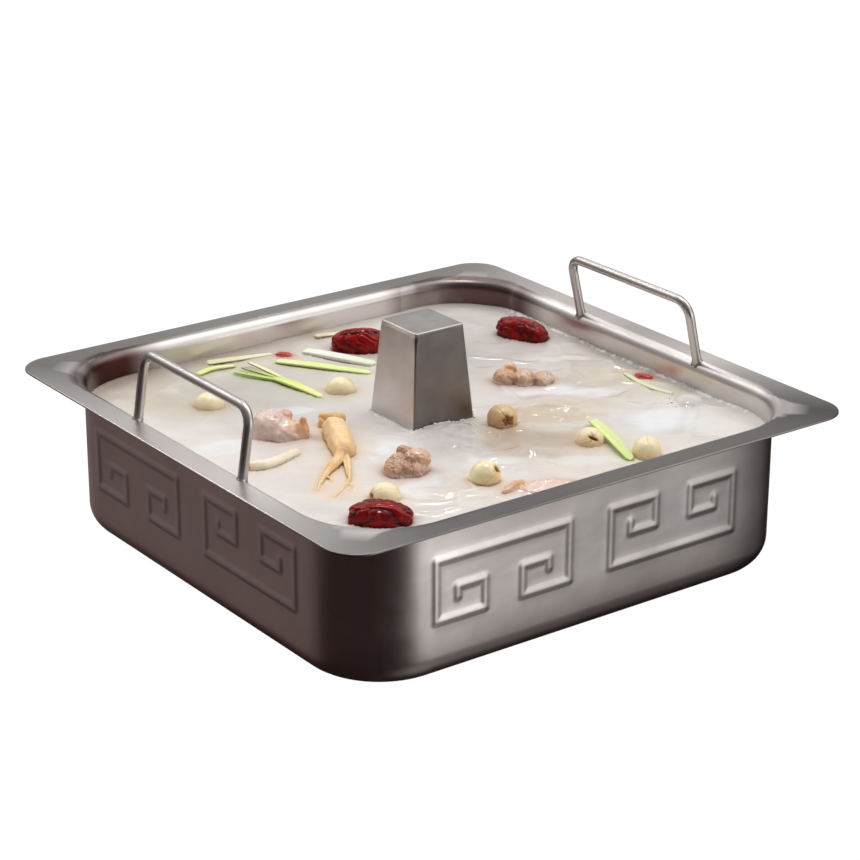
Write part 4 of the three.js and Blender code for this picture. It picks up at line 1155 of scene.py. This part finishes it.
def build_foam(mat, field):
    """Small bubbles: along the wall's waterline, round the chimney and on the boiling mound."""
    rng = np.random.default_rng(11)
    x, y, z = field
    spots = []

    def wall(k, u):
        a = k * PI / 2
        px, py = u, -(BROTH_HALF - 0.6)
        return px * math.cos(a) - py * math.sin(a), px * math.sin(a) + py * math.cos(a)
    for u in rng.uniform(-80, 96, 26):          # right wall, +X
        px, py = wall(1, u)
        spots.append((px - rng.uniform(0, 1.6), py, rng.uniform(0.25, 0.7)))
    for u in rng.uniform(-96, 60, 0):           # back wall
        px, py = wall(2, u)
        spots.append((px, py - rng.uniform(0, 1.4), rng.uniform(0.25, 0.7)))
    ch = 15.6 + 0.083 * (TOP - LEVEL)
    for t in rng.uniform(-1, 1, 28):             # chimney, its two near faces
        spots.append((-0.7 - ch - rng.uniform(0.2, 1.3), 0.5 + t * ch, rng.uniform(0.3, 0.8)))
    for t in rng.uniform(-1, 1, 20):
        spots.append((-0.7 + t * ch, 0.5 - ch - rng.uniform(0.2, 1.4), rng.uniform(0.3, 0.9)))
    for _ in range(16):                          # edge of the mound
        a = rng.uniform(0, 2 * PI)
        r = rng.uniform(13, 24)
        spots.append((-6 + r * math.cos(a), -37.5 + r * math.sin(a), rng.uniform(0.25, 0.6)))
    for _ in range(14):                          # by the big bubble
        a = rng.uniform(0, 2 * PI)
        r = rng.uniform(8.2, 12.5)
        spots.append((127.4 + r * math.cos(a), -69.4 + r * math.sin(a), rng.uniform(0.3, 1.0)))
    tree = KDTree(len(x))
    for i in range(len(x)):
        tree.insert((x[i], y[i], 0), i)
    tree.balance()
    parts = []
    d, f = ball(8, 12)
    kept = []
    for px, py, r in spots:
        if wall_gap(np.array([px]), np.array([py]), BROTH_HALF, BROTH_R)[0] < 0.1:
            continue
        if max(abs(px + 0.7), abs(py - 0.5)) < ch:
            continue
        if any((px - a) ** 2 + (py - b) ** 2 < (r + c) ** 2 for a, b, c in kept):
            continue
        kept.append((px, py, r))
        zz = z[tree.find((px, py, 0))[1]]
        p = d * np.array([r, r, r * 0.7]) + np.array([px, py, zz + r * 0.05])
        parts.append((p, f))
    v, f = join_meshes([(p, facing_out(p, q)) for p, q in parts])
    return piece("broth_bubbles", v, f, mat, None)


# ------------------------------------------------------------------ camera, stage, lights
def build_camera():
    a, e, roll = math.radians(-36.389), math.radians(21.546), math.radians(0.19)
    back = Vector((math.sin(a) * math.cos(e), -math.cos(a) * math.cos(e), math.sin(e)))
    fwd = -back
    right = fwd.cross(Vector((0, 0, 1))).normalized()
    up = right.cross(fwd).normalized()
    r2 = right * math.cos(roll) + up * math.sin(roll)
    u2 = up * math.cos(roll) - right * math.sin(roll)
    cam = bpy.data.objects.new("camera", bpy.data.cameras.new("camera"))
    bpy.context.scene.collection.objects.link(cam)
    m = Matrix.Identity(4)
    for i in range(3):
        m[i][0], m[i][1], m[i][2] = r2[i], u2[i], back[i]
    m.translation = Vector((-0.7598, -1.0368, 0.5706))
    cam.matrix_world = m
    cam.data.lens = 107.92
    cam.data.sensor_width = 36
    cam.data.clip_start, cam.data.clip_end = 0.05, 50
    bpy.context.scene.camera = cam


def build_stage():
    me = bpy.data.meshes.new("floor")
    n = 24
    v = [(3.0 * (2 * i / n - 1), 3.0 * (2 * j / n - 1), -0.0004) for i in range(n + 1) for j in range(n + 1)]
    v = [(x * 4, y * 4, z) for x, y, z in v]
    f = [[i * (n + 1) + j, (i + 1) * (n + 1) + j, (i + 1) * (n + 1) + j + 1, i * (n + 1) + j + 1] for i in range(n) for j in range(n)]
    me.from_pydata(v, [], f)
    ob = bpy.data.objects.new("floor", me)
    bpy.context.scene.collection.objects.link(ob)
    m = Mat("floor_pale", Roughness=0.9)
    m.b.inputs["Base Color"].default_value = (0.05, 0.05, 0.05, 1)
    m.b.inputs["Specular IOR Level"].default_value = 0.0
    m.b.inputs["Emission Color"].default_value = (1, 1, 1, 1)
    m.b.inputs["Emission Strength"].default_value = 0.985
    me.materials.append(m.m)
    ob.visible_glossy = False
    ob.visible_diffuse = False
    ob.visible_transmission = False


def direction(az, el):
    a, e = math.radians(az), math.radians(el)
    return (math.cos(a) * math.cos(e), math.sin(a) * math.cos(e), math.sin(e))


PATCHES = [  # azimuth, elevation, inner and outer angle, colour, radiance
    (306, -9, 10, 30, (1.0, 0.985, 0.97), 0.96),      # what the right-hand wall mirrors
    (291, -9, 6, 24, (1.0, 0.98, 0.965), 0.85),
    (306, 20, 12, 34, (1.0, 0.99, 0.98), 0.85),       # and the flanks of its pattern
    (340, -14, 6, 24, (1.0, 0.97, 0.96), 0.40),
    (306, -56, 6, 26, (1.0, 0.96, 0.95), 0.40),
    (126, -16, 6, 34, (1.0, 0.80, 0.77), 0.17),       # what the left-hand wall mirrors
    (126, 20, 6, 24, (1.0, 0.90, 0.88), 0.24),
    (84, -18, 6, 22, (1.0, 0.88, 0.86), 0.20),
    (54, 24, 14, 40, (1.0, 0.99, 0.985), 0.48),        # what the rim mirrors
    (-18, 52, 12, 34, (1, 1, 1), 1.9),                # overhead boxes at the back
    (104, 44, 8, 28, (1, 1, 1), 1.7),
    (45, 75, 14, 40, (1, 1, 1), 0.35),
]


def build_world():
    w = bpy.data.worlds.new("studio")
    bpy.context.scene.world = w
    w.use_nodes = True
    nt = w.node_tree
    nt.nodes.clear()
    out = nt.nodes.new("ShaderNodeOutputWorld")
    bg = nt.nodes.new("ShaderNodeBackground")
    nt.links.new(bg.outputs[0], out.inputs[0])
    tc = nt.nodes.new("ShaderNodeTexCoord").outputs["Generated"]
    sep = nt.nodes.new("ShaderNodeSeparateXYZ")
    nt.links.new(tc, sep.inputs[0])
    ramp = nt.nodes.new("ShaderNodeValToRGB")
    mr = nt.nodes.new("ShaderNodeMapRange")
    nt.links.new(sep.outputs[2], mr.inputs[0])
    mr.inputs[1].default_value, mr.inputs[2].default_value = -1, 1
    nt.links.new(mr.outputs[0], ramp.inputs[0])
    stops = [(0.0, (0.022, 0.012, 0.012)), (0.34, (0.030, 0.015, 0.015)), (0.46, (0.05, 0.034, 0.032)), (0.58, (0.14, 0.13, 0.125)), (1.0, (0.22, 0.215, 0.21))]
    e = ramp.color_ramp.elements
    while len(e) < len(stops):
        e.new(0.5)
    for i, (p_, c) in enumerate(stops):
        e[i].position, e[i].color = p_, (*c, 1)
    total = ramp.outputs[0]
    for az, el, a0, a1, col, val in PATCHES:
        dot = nt.nodes.new("ShaderNodeVectorMath")
        dot.operation = "DOT_PRODUCT"
        nt.links.new(tc, dot.inputs[0])
        dot.inputs[1].default_value = direction(az, el)
        m = nt.nodes.new("ShaderNodeMapRange")
        m.interpolation_type = "SMOOTHSTEP"
        nt.links.new(dot.outputs["Value"], m.inputs[0])
        for i, x in enumerate((math.cos(math.radians(a1)), math.cos(math.radians(a0)), 0, val)):
            m.inputs[1 + i].default_value = x
        mul = nt.nodes.new("ShaderNodeVectorMath")
        mul.operation = "SCALE"
        mul.inputs[0].default_value = col
        nt.links.new(m.outputs[0], mul.inputs["Scale"])
        add = nt.nodes.new("ShaderNodeVectorMath")
        add.operation = "ADD"
        nt.links.new(total, add.inputs[0])
        nt.links.new(mul.outputs[0], add.inputs[1])
        total = add.outputs[0]
    nt.links.new(total, bg.inputs[0])


def area(name, loc, look, size, watts, color=(1, 1, 1), glossy=True):
    d = bpy.data.lights.new(name, "AREA")
    d.shape, d.size, d.size_y = "RECTANGLE", size[0], size[1]
    d.energy, d.color = watts, color
    ob = bpy.data.objects.new(name, d)
    bpy.context.scene.collection.objects.link(ob)
    ob.location = loc
    ob.rotation_mode = "QUATERNION"
    ob.rotation_quaternion = (Vector(look) - Vector(loc)).to_track_quat("-Z", "Y")
    ob.visible_glossy = glossy
    ob.visible_camera = False
    return ob


def build_lights():
    area("key_top", (0.08, 0.12, 1.36), (0, 0, 0.07), (0.23, 0.13), 4.4, (1, 0.99, 0.98))
    area("soft_top", (0.15, 0.25, 1.3), (0, 0, 0.07), (1.3, 1.3), 0.5, (1, 0.985, 0.97), glossy=False)
    area("soft_left", (-0.9, 0.5, 1.0), (0, 0, 0.07), (0.7, 0.7), 2.2, (1, 0.99, 0.98), glossy=False)
    area("glint_back", (0.60, 0.80, 0.85), (0, 0, 0.08), (0.09, 0.07), 0.28)
    area("glint_left", (-0.15, 0.95, 0.95), (0, 0, 0.08), (0.06, 0.06), 0.35)


# ------------------------------------------------------------------ food materials
def food(name, rough, sss, radius, bump_scale=900, bump_mm=0.05, bump_k=0.3, coat=0.0, coat_r=0.1, vary=0.08, spec=0.5):
    m = Mat(name)
    m.b.inputs["Subsurface Weight"].default_value = sss
    m.b.inputs["Subsurface Radius"].default_value = radius
    m.b.inputs["Subsurface Scale"].default_value = 0.001
    m.b.inputs["Coat Weight"].default_value = coat
    m.b.inputs["Coat Roughness"].default_value = coat_r
    m.b.inputs["Specular IOR Level"].default_value = spec
    n = m.noise(420, 4, 0.6)
    fac = m.remap(n, 0.3, 0.7, 1 - vary, 1 + vary)
    comb = m.node("ShaderNodeCombineColor")
    for i in range(3):
        m.nt.links.new(fac, comb.inputs[i])
    m.set("Base Color", m.mix(1.0, m.attr("tint"), comb.outputs[0], "MULTIPLY"))
    m.set("Roughness", m.remap(m.noise(300, 3, 0.6), 0.3, 0.7, rough - 0.08, rough + 0.10))
    m.set("Normal", m.bump(m.noise(bump_scale, 4, 0.6), bump_k, bump_mm))
    return m


def make_all():
    pan_steel = steel("steel_satin", 0.33)
    rod_steel = steel("steel_rod", 0.34)
    chim_steel = steel("steel_chimney", 0.36)
    build_pan(pan_steel.m)
    build_handle("handle_left_rod", -1, -0.3, 5.4, rod_steel.m)
    build_handle("handle_right_rod", 1, -4.0, 8.4, rod_steel.m)
    build_chimney(chim_steel.m)

    # date: thin glossy skin, with painted shade near black in the creases, clear red where light gets through
    dm = Mat("date_skin", Roughness=0.2)
    dm.b.inputs["Coat Weight"].default_value = 0.38
    dm.b.inputs["Coat Roughness"].default_value = 0.03
    dm.b.inputs["Specular IOR Level"].default_value = 0.06
    dm.b.inputs["Subsurface Weight"].default_value = 0.12
    dm.b.inputs["Subsurface Radius"].default_value = (1.2, 0.12, 0.08)
    dm.b.inputs["Subsurface Scale"].default_value = 0.001
    cr = dm.attr("crease_shade", False)
    mott = dm.noise(230, 4, 0.6)
    col = dm.mix(dm.remap(mott, 0.35, 0.65, 0, 1), srgb(112, 3, 5), srgb(156, 8, 8))
    col = dm.mix(dm.remap(cr, 0.15, 0.9, 0, 0.8), col, srgb(40, 2, 5))
    col = dm.mix(dm.math("MULTIPLY", dm.attr("end", False), 0.45), col, srgb(140, 70, 52))
    dm.set("Base Color", col)
    dm.set("Roughness", dm.remap(dm.noise(500, 3, 0.5), 0.3, 0.7, 0.20, 0.36))
    dm.set("Normal", dm.bump(dm.noise(260, 2, 0.5), 0.35, 0.30))
    build_date("date_front", dm.m, V, rad(2), 0.4, 1)
    build_date("date_back_right", dm.m, V - rad(32), rad(7), 1.7, 5, 1.9)
    build_date("date_back_left", dm.m, V + rad(4), rad(-2), 2.9, 9, 1.3)

    sm = food("lotus_flesh", 0.34, 0.40, (2.2, 1.6, 1.0), 1500, 0.02, 0.15, 0.25, 0.16, 0.04)
    build_seed("lotus_seed_1", sm.m, V, 0, None, 1, 0.5)
    build_seed("lotus_seed_2", sm.m, V, 0, None, 2, 1.4)
    build_seed("lotus_seed_3", sm.m, V + rad(202), rad(-14), "crack", 3, 1.0)
    build_seed("lotus_seed_4", sm.m, V - rad(18), rad(-32), "crack", 4, 0.3)
    build_seed("lotus_seed_5", sm.m, V - rad(68), rad(-6), "round", 5, 2.0)
    build_seed("lotus_seed_6", sm.m, V - rad(78), rad(-32), "slit", 6, 0.9)
    build_seed("lotus_seed_7", sm.m, V + rad(90), 0, None, 7, PI / 2)

    skin = food("chicken_skin_wet", 0.22, 0.35, (2.4, 1.2, 0.8), 1100, 0.22, 0.6, 0.8, 0.05, 0.06)
    meat = food("chicken_meat_wet", 0.32, 0.30, (2.0, 1.1, 0.7), 1300, 0.10, 0.5, 0.4, 0.08, 0.08)
    pink, grey, tan = srgb(228, 200, 188), srgb(222, 206, 198), srgb(238, 176, 112)
    build_chicken("chicken_skin", skin.m, (-76.6, 21.6, Z),
                  [((-7, -1, 1.9), (9.8, 10.6, 11.4), 0), ((1.5, -3, 1.5), (9.6, 9.6, 7.8), 15), ((1.5, 6.5, 7.4), (4.4, 3.8, 3.4), -20),
                   ((10.2, -3.8, 2.4), (5.0, 5.0, 6.8), 14), ((11.6, -4.4, 7.4), (2.2, 2.4, 4.2), 14)],
                  # the two darker patches low on its left end and its front are painted shade
                  [(-10, -4, 6, 9, grey, 0.8), (-4, -6, 9, 6, pink, 0.7), (2, -8, 4, 6, srgb(222, 200, 190), 0.7), (11.5, -4.5, 6, 6.4, tan, 0.95),
                   (7.5, -6, 6, 3.2, srgb(232, 196, 158), 0.8), (13.5, -4, 10, 3.4, srgb(196, 138, 84), 0.7), (3, 7, 9.5, 4.4, srgb(204, 150, 104), 0.85), (-12, 2, 2, 5, srgb(200, 172, 158), 0.6),
                   (3, -9, 1, 4, srgb(176, 146, 138), 0.5)],
                  (1, 0, 0.2), 31, pink, 0.14, True, 0.4)
    build_chicken("chicken_lobed", meat.m, (-52.2, -57.1, Z),
                  [((-4.0, -3.0, 0.2), (8.0, 8.6, 7.4), 0), ((2.0, -1.5, 0.4), (8.4, 9.0, 5.6), 0), ((5.0, 0.5, 5.6), (7.4, 5.2, 4.6), 12), ((-0.8, 4.4, 7.4), (5.2, 2.8, 3.6), -24), ((-5.0, -1.0, 5.0), (4.0, 4.6, 3.8), 30)],
                  [(5, 0, 10, 7, srgb(232, 194, 162), 0.9), (-6, -4, 5, 6, srgb(206, 164, 134), 0.85), (-1, -8, 3, 4.5, srgb(160, 112, 86), 0.85),
                   (-2.4, 5, 11, 4, srgb(204, 166, 138), 0.85), (4.5, -7, 1.5, 4, srgb(176, 134, 108), 0.7), (0, -3, 6.5, 3, srgb(150, 102, 78), 0.75)],
                  (0.3, 0.6, -0.75), 41, srgb(212, 170, 140), 0.40)
    build_chicken("chicken_back", meat.m, (75.1, 8.7, Z),
                  [((-10.8, 0, 0.8), (6.0, 7.0, 6.2), 24), ((0.2, -1, 0.8), (6.2, 7.6, 6.2), 0), ((10.2, -0.5, 0.4), (6.4, 7.0, 5.2), -12), ((-7.6, 3.2, 5.8), (3.6, 3.0, 3.8), 0)],
                  [(-11, -2, 4, 6, srgb(206, 160, 126), 0.85), (-8, 3, 10, 4.6, srgb(240, 196, 148), 0.9), (1, -4, 5, 5, srgb(236, 206, 182), 0.9),
                   (9, -1, 5, 5, srgb(206, 162, 128), 0.85), (13, -4, 2, 3.6, srgb(236, 220, 206), 0.9), (5.5, -5, 2, 3, srgb(160, 110, 80), 0.8), (-5.0, -5, 2, 3, srgb(166, 116, 84), 0.8)],
                  (0.55, 0.2, -0.75), 51, srgb(208, 166, 134), 0.30)
    build_chicken("chicken_front", skin.m, (-11.6, -114.4, Z),
                  [((4, 0, -1.6), (15.2, 8.4, 4.3), 14), ((-13.5, -1.5, 0.2), (9.3, 2.6, 2.8), 56)],
                  [(4, 0, 2, 11, srgb(238, 208, 198), 0.9), (-13, -1, 2.5, 7, srgb(222, 164, 96), 0.97), (-10, 4, 2.5, 4, srgb(236, 186, 118), 0.9)],
                  (1, 0.3, 0), 61, srgb(230, 196, 178), 0.10, True, 0.3)

    gm = food("ginseng_skin", 0.36, 0.35, (2.2, 1.2, 0.6), 1100, 0.04, 0.25, 0.3, 0.2, 0.05)
    build_ginseng(gm.m)

    leaf = food("scallion_leaf", 0.36, 0.35, (0.9, 0.9, 0.5), 500, 0.02, 0.05, 0.12, 0.2, 0.02, 0.3)
    white = srgb(240, 240, 226)
    # a split leaf: three fine tongues and the stalk they come from
    parts, tints = [], []
    tongues = (
        ([[-48.7, 112.7, Z + 0.8, 2.6, 1.0], [-42.6, 100, Z + 0.9, 3.0, 1.2], [-35.4, 86.4, Z + 0.8, 2.8, 1.5], [-33.4, 80.0, Z + 0.8, 2.2, 1.4]],
         [(0, srgb(150, 206, 84)), (0.5, srgb(160, 212, 90)), (1, srgb(196, 226, 124))], srgb(120, 176, 66), 0.5),
        ([[-42.2, 115.2, Z + 1.5, 2.0, 1.0], [-38.6, 102, Z + 1.4, 2.4, 1.2], [-33.6, 86.4, Z + 1.0, 2.6, 1.5], [-32.6, 80.4, Z + 0.9, 2.0, 1.4]],
         [(0, srgb(110, 150, 82)), (0.4, srgb(170, 208, 120)), (1, srgb(196, 226, 124))], srgb(74, 112, 58), 0.75),
        ([[-35.6, 118.4, Z + 2.3, 2.6, 1.0], [-34.4, 104, Z + 2.0, 3.2, 1.2], [-32.6, 86.2, Z + 1.1, 2.8, 1.5], [-32.2, 80.4, Z + 0.9, 2.0, 1.4]],
         [(0, srgb(222, 230, 214)), (0.4, srgb(240, 244, 234)), (0.7, srgb(206, 220, 186)), (1, srgb(190, 220, 130))], srgb(58, 84, 54), 0.9))
    for places, stops, edge, ek in tongues:
        v, f, t = build_strip("", "", None, places, stops, curled(0.3, 0.04, 3), 44, 22, edge=edge, edge_k=ek, seed=len(parts), tip=(0.05, 0.2), count=3)
        parts.append((v, f))
        tints.append(t)
    v, f, t = build_strip("", "", None, [[-36.0, 92.0, Z + 0.9, 5.0, 1.8], [-33.2, 76, Z + 0.9, 6.0, 2.2], [-31.2, 64, Z + 0.6, 5.0, 2.0], [-29.8, 52.6, Z + 0.2, 3.6, 1.5]],
                          [(0, srgb(196, 226, 122)), (0.4, srgb(214, 236, 148)), (0.75, srgb(228, 240, 190)), (1, srgb(224, 236, 170))],
                          curled(0.12, 0.06, 7, 0.12), 56, 28, seed=9, edge=srgb(182, 218, 96), edge_k=0.6)
    parts.append((v, f))
    tints.append(t)
    v, f = join_meshes(parts)
    t = np.clip(soaked(v, np.concatenate(tints) * np.array((1.16, 1.0, 0.72)) * 0.78 + np.array((0.92, 0.88, 0.52)) * 0.22, 0.5, 1.4, jitter=0.0), 0, 1)
    remember(v, f, srgb(204, 226, 150))
    piece("scallion_fan_leaf", v, f, leaf.m, "scallion_fan", {"tint": t})
    put_strip("scallion_ribbon_leaf", "scallion_ribbon", leaf.m,
              [[-19.6, 114.6, Z + 0.4, 5.6, 1.6], [-5, 93, Z + 0.7, 6.4, 1.9], [13.2, 67.6, Z + 0.4, 5.0, 1.5]],
              [(0, srgb(224, 232, 190)), (0.35, srgb(218, 236, 158)), (0.8, srgb(204, 232, 128)), (1, srgb(200, 230, 124))],
              curled(0.12, 0.04, 5, 0.10), edge=srgb(196, 228, 112), edge_k=0.6, seed=3, vein=0.05)
    put_strip("scallion_white_stalk", "scallion_white", leaf.m,
              [[2.6, 119.5, Z + 0.5, 7.0, 3.0], [12, 99, Z + 0.9, 7.8, 3.5], [23.0, 77.8, Z + 0.5, 7.0, 2.9]],
              [(0, srgb(232, 232, 220)), (0.3, srgb(242, 242, 232)), (0.7, srgb(242, 243, 230)), (1, srgb(222, 232, 196))],
              curled(0.08, 0.08, 9), slot="scallion_pale", seed=4, vein=0.04, soak=0.7)
    put_strip("scallion_leaf_back_blade", "scallion_leaf_back", leaf.m,
              [[-52.6, 134.6, Z + 0.3, 6.4, 1.2], [-36, 130.6, Z + 0.4, 5.6, 1.3], [-13.6, 127.0, Z + 0.0, 3.4, 1.1]],
              [(0, srgb(206, 214, 146)), (0.45, srgb(208, 218, 152)), (0.7, srgb(220, 220, 180)), (1, srgb(226, 220, 198))],
              curled(0.12, 0.04, 5, 0.06), edge=srgb(190, 200, 124), edge_k=0.4, seed=5, vein=0.04, soak=0.75)
    put_strip("scallion_strip_left_leaf", "scallion_strip_left", leaf.m,
              [[-66.6, 121.4, Z + 0.6, 4.4, 1.3], [-55, 124.0, Z + 0.8, 4.2, 1.4], [-42.0, 122.0, Z + 0.5, 3.4, 1.3]],
              [(0, srgb(196, 224, 92)), (0.5, srgb(206, 230, 128)), (1, srgb(214, 226, 166))], curled(0.2, 0.05, 5), edge=srgb(214, 232, 150), seed=6, vein=0.05)
    put_strip("scallion_strip_wall_leaf", "scallion_strip_wall", leaf.m,
              [[21.6, 136.4, Z + 0.5, 4.8, 1.3], [30, 133.6, Z + 0.6, 4.9, 1.3], [39.0, 131.2, Z + 0.5, 4.8, 1.3]],
              [(0, srgb(214, 204, 180)), (1, srgb(222, 214, 194))], curled(0.2, 0.05, 7), slot="scallion_pale", seed=7, vein=0.04)
    put_strip("scallion_leaf_right_blade", "scallion_leaf_right", leaf.m,
              [[64.3, -62.8, Z + 1.3, 5.6, 1.9], [55.6, -89, Z + 1.9, 6.0, 2.1], [46.4, -116, Z + 0.7, 4.6, 1.7]],
              [(0, srgb(216, 236, 168)), (0.35, srgb(208, 234, 150)), (0.8, srgb(196, 226, 130)), (1, srgb(190, 222, 118))],
              curled(0.0, 0.05, 7, 0.42), edge=srgb(172, 214, 96), edge_k=0.7, seed=8, vein=0.06, count=5)
    put_strip("scallion_strip_right_leaf", "scallion_strip_right", leaf.m,
              [[127.8, -14.4, Z + 0.2, 2.5, 1.3], [125.2, -31.0, Z + 0.2, 3.5, 1.4], [125.4, -43.0, Z + 0.2, 3.9, 1.4], [128.6, -55.0, Z + 0.1, 3.3, 1.3]],
              [(0, srgb(196, 220, 150)), (0.5, srgb(218, 226, 182)), (1, srgb(226, 222, 200))], curled(0.2, 0.05, 7), seed=10, soak=0.8)

    def ring_shape(t, q, a, b, w, h):
        k = 1 + 0.012 * math.sin(t * 23) + 0.006 * math.sin(t * 61)
        g = 1 + 0.02 * np.sin(7 * q)
        return a * k * g, b * k * g
    put_strip("shallot_stalk_piece", "shallot_stalk", food("shallot_flesh", 0.30, 0.4, (1.6, 1.2, 0.8), 1100, 0.05, 0.3, 0.35, 0.12, 0.05).m,
              [[-118.0, -9.6, Z + 1.2, 6.0, 5.6], [-113.4, -11.0, Z + 1.3, 6.4, 6.0], [-105.4, -12.4, Z + 1.1, 6.0, 5.4], [-84.0, -6.4, Z + 0.8, 5.0, 4.4]],
              [(0, srgb(140, 66, 50)), (0.05, srgb(176, 104, 78)), (0.11, srgb(236, 214, 182)), (0.5, srgb(246, 234, 212)), (1, srgb(240, 228, 206))],
              ring_shape, 70, 24, slot="scallion_pale", power=2.0, tip=(0.04, 0.06), vein=0.03, count=9, seed=12)

    # goji: small wrinkled red berries
    berry = food("goji_skin", 0.26, 0.3, (1.6, 0.4, 0.2), 1500, 0.08, 0.4, 0.4, 0.1, 0.12)
    for i, (name, yaw, half) in enumerate((("goji_left", V - rad(8), (5.2, 2.6, 1.85)), ("goji_right", V - rad(34), (5.8, 2.6, 2.1)))):
        lo, hi = mm_box(name)
        at = (lo + hi) / 2
        d, f = ball(48, 48)
        phi = np.arctan2(d[:, 2], d[:, 1])
        rr = np.sqrt(np.clip(1 - d[:, 0] ** 2, 0, 1))
        wr = 1 - 2 * np.abs(noise(np.c_[d[:, 0] * 2.2, rr * np.cos(phi) * 2.4, rr * np.sin(phi) * 2.4] + i * 9, 80 + i))
        p = lump_at(d, half, 2.1, 1.0 - 0.10 * np.clip(wr, 0, 1))
        p = turned(p, yaw) + at
        f = facing_out(p, f)
        remember(p, f, srgb(236, 150, 120))
        tint = np.ones((len(p), 3)) * np.array(srgb(206, 40, 26))
        # painted shade: darker in the sunken wrinkles
        tint = tint * (1 - 0.45 * np.clip(wr, 0, 1))[:, None]
        piece(name + "_berry", p, f, berry.m, name, {"tint": soaked(p, tint, 0.35, 1.0)})

    # broth
    bm = Mat("broth_milky")
    bm.b.inputs["Subsurface Weight"].default_value = 0.45
    bm.b.inputs["Subsurface Radius"].default_value = (3.2, 2.7, 2.3)
    bm.b.inputs["Subsurface Scale"].default_value = 0.001
    bm.b.inputs["IOR"].default_value = 1.36
    bm.b.inputs["Roughness"].default_value = 0.10
    n = bm.noise(26, 5, 0.55, distort=1.2)
    fac = bm.remap(n, 0.3, 0.7, 0.965, 1.025)
    comb = bm.node("ShaderNodeCombineColor")
    for i in range(3):
        bm.nt.links.new(fac, comb.inputs[i])
    bm.set("Base Color", bm.mix(1.0, bm.attr("tint"), comb.outputs[0], "MULTIPLY"))
    bm.set("Roughness", bm.remap(bm.noise(40, 3, 0.5), 0.3, 0.7, 0.05, 0.11))
    b1 = bm.bump(bm.noise(48, 3, 0.5, distort=1.0), 0.40, 0.7)
    bm.set("Normal", bm.bump(bm.noise(210, 2, 0.5), 0.16, 0.16, b1))
    ob, field = build_broth(bm.m)

    fm = Mat("broth_foam", Roughness=0.18)
    fm.b.inputs["Subsurface Weight"].default_value = 0.2
    fm.b.inputs["Subsurface Radius"].default_value = (1, 1, 1)
    fm.b.inputs["Subsurface Scale"].default_value = 0.001
    fm.b.inputs["Specular IOR Level"].default_value = 0.4
    fn = fm.noise(900, 2, 0.5)
    fm.set("Base Color", fm.ramp(fn, [(0.3, srgb(240, 238, 235)), (0.7, srgb(250, 249, 247))]))
    build_foam(fm.m, field)


make_all()
build_camera()
build_stage()
build_world()
build_lights()
sc = bpy.context.scene
sc.view_settings.view_transform = "Standard"
sc.view_settings.look = "None"
sc.view_settings.exposure = 0.0
sc.view_settings.gamma = 1.0
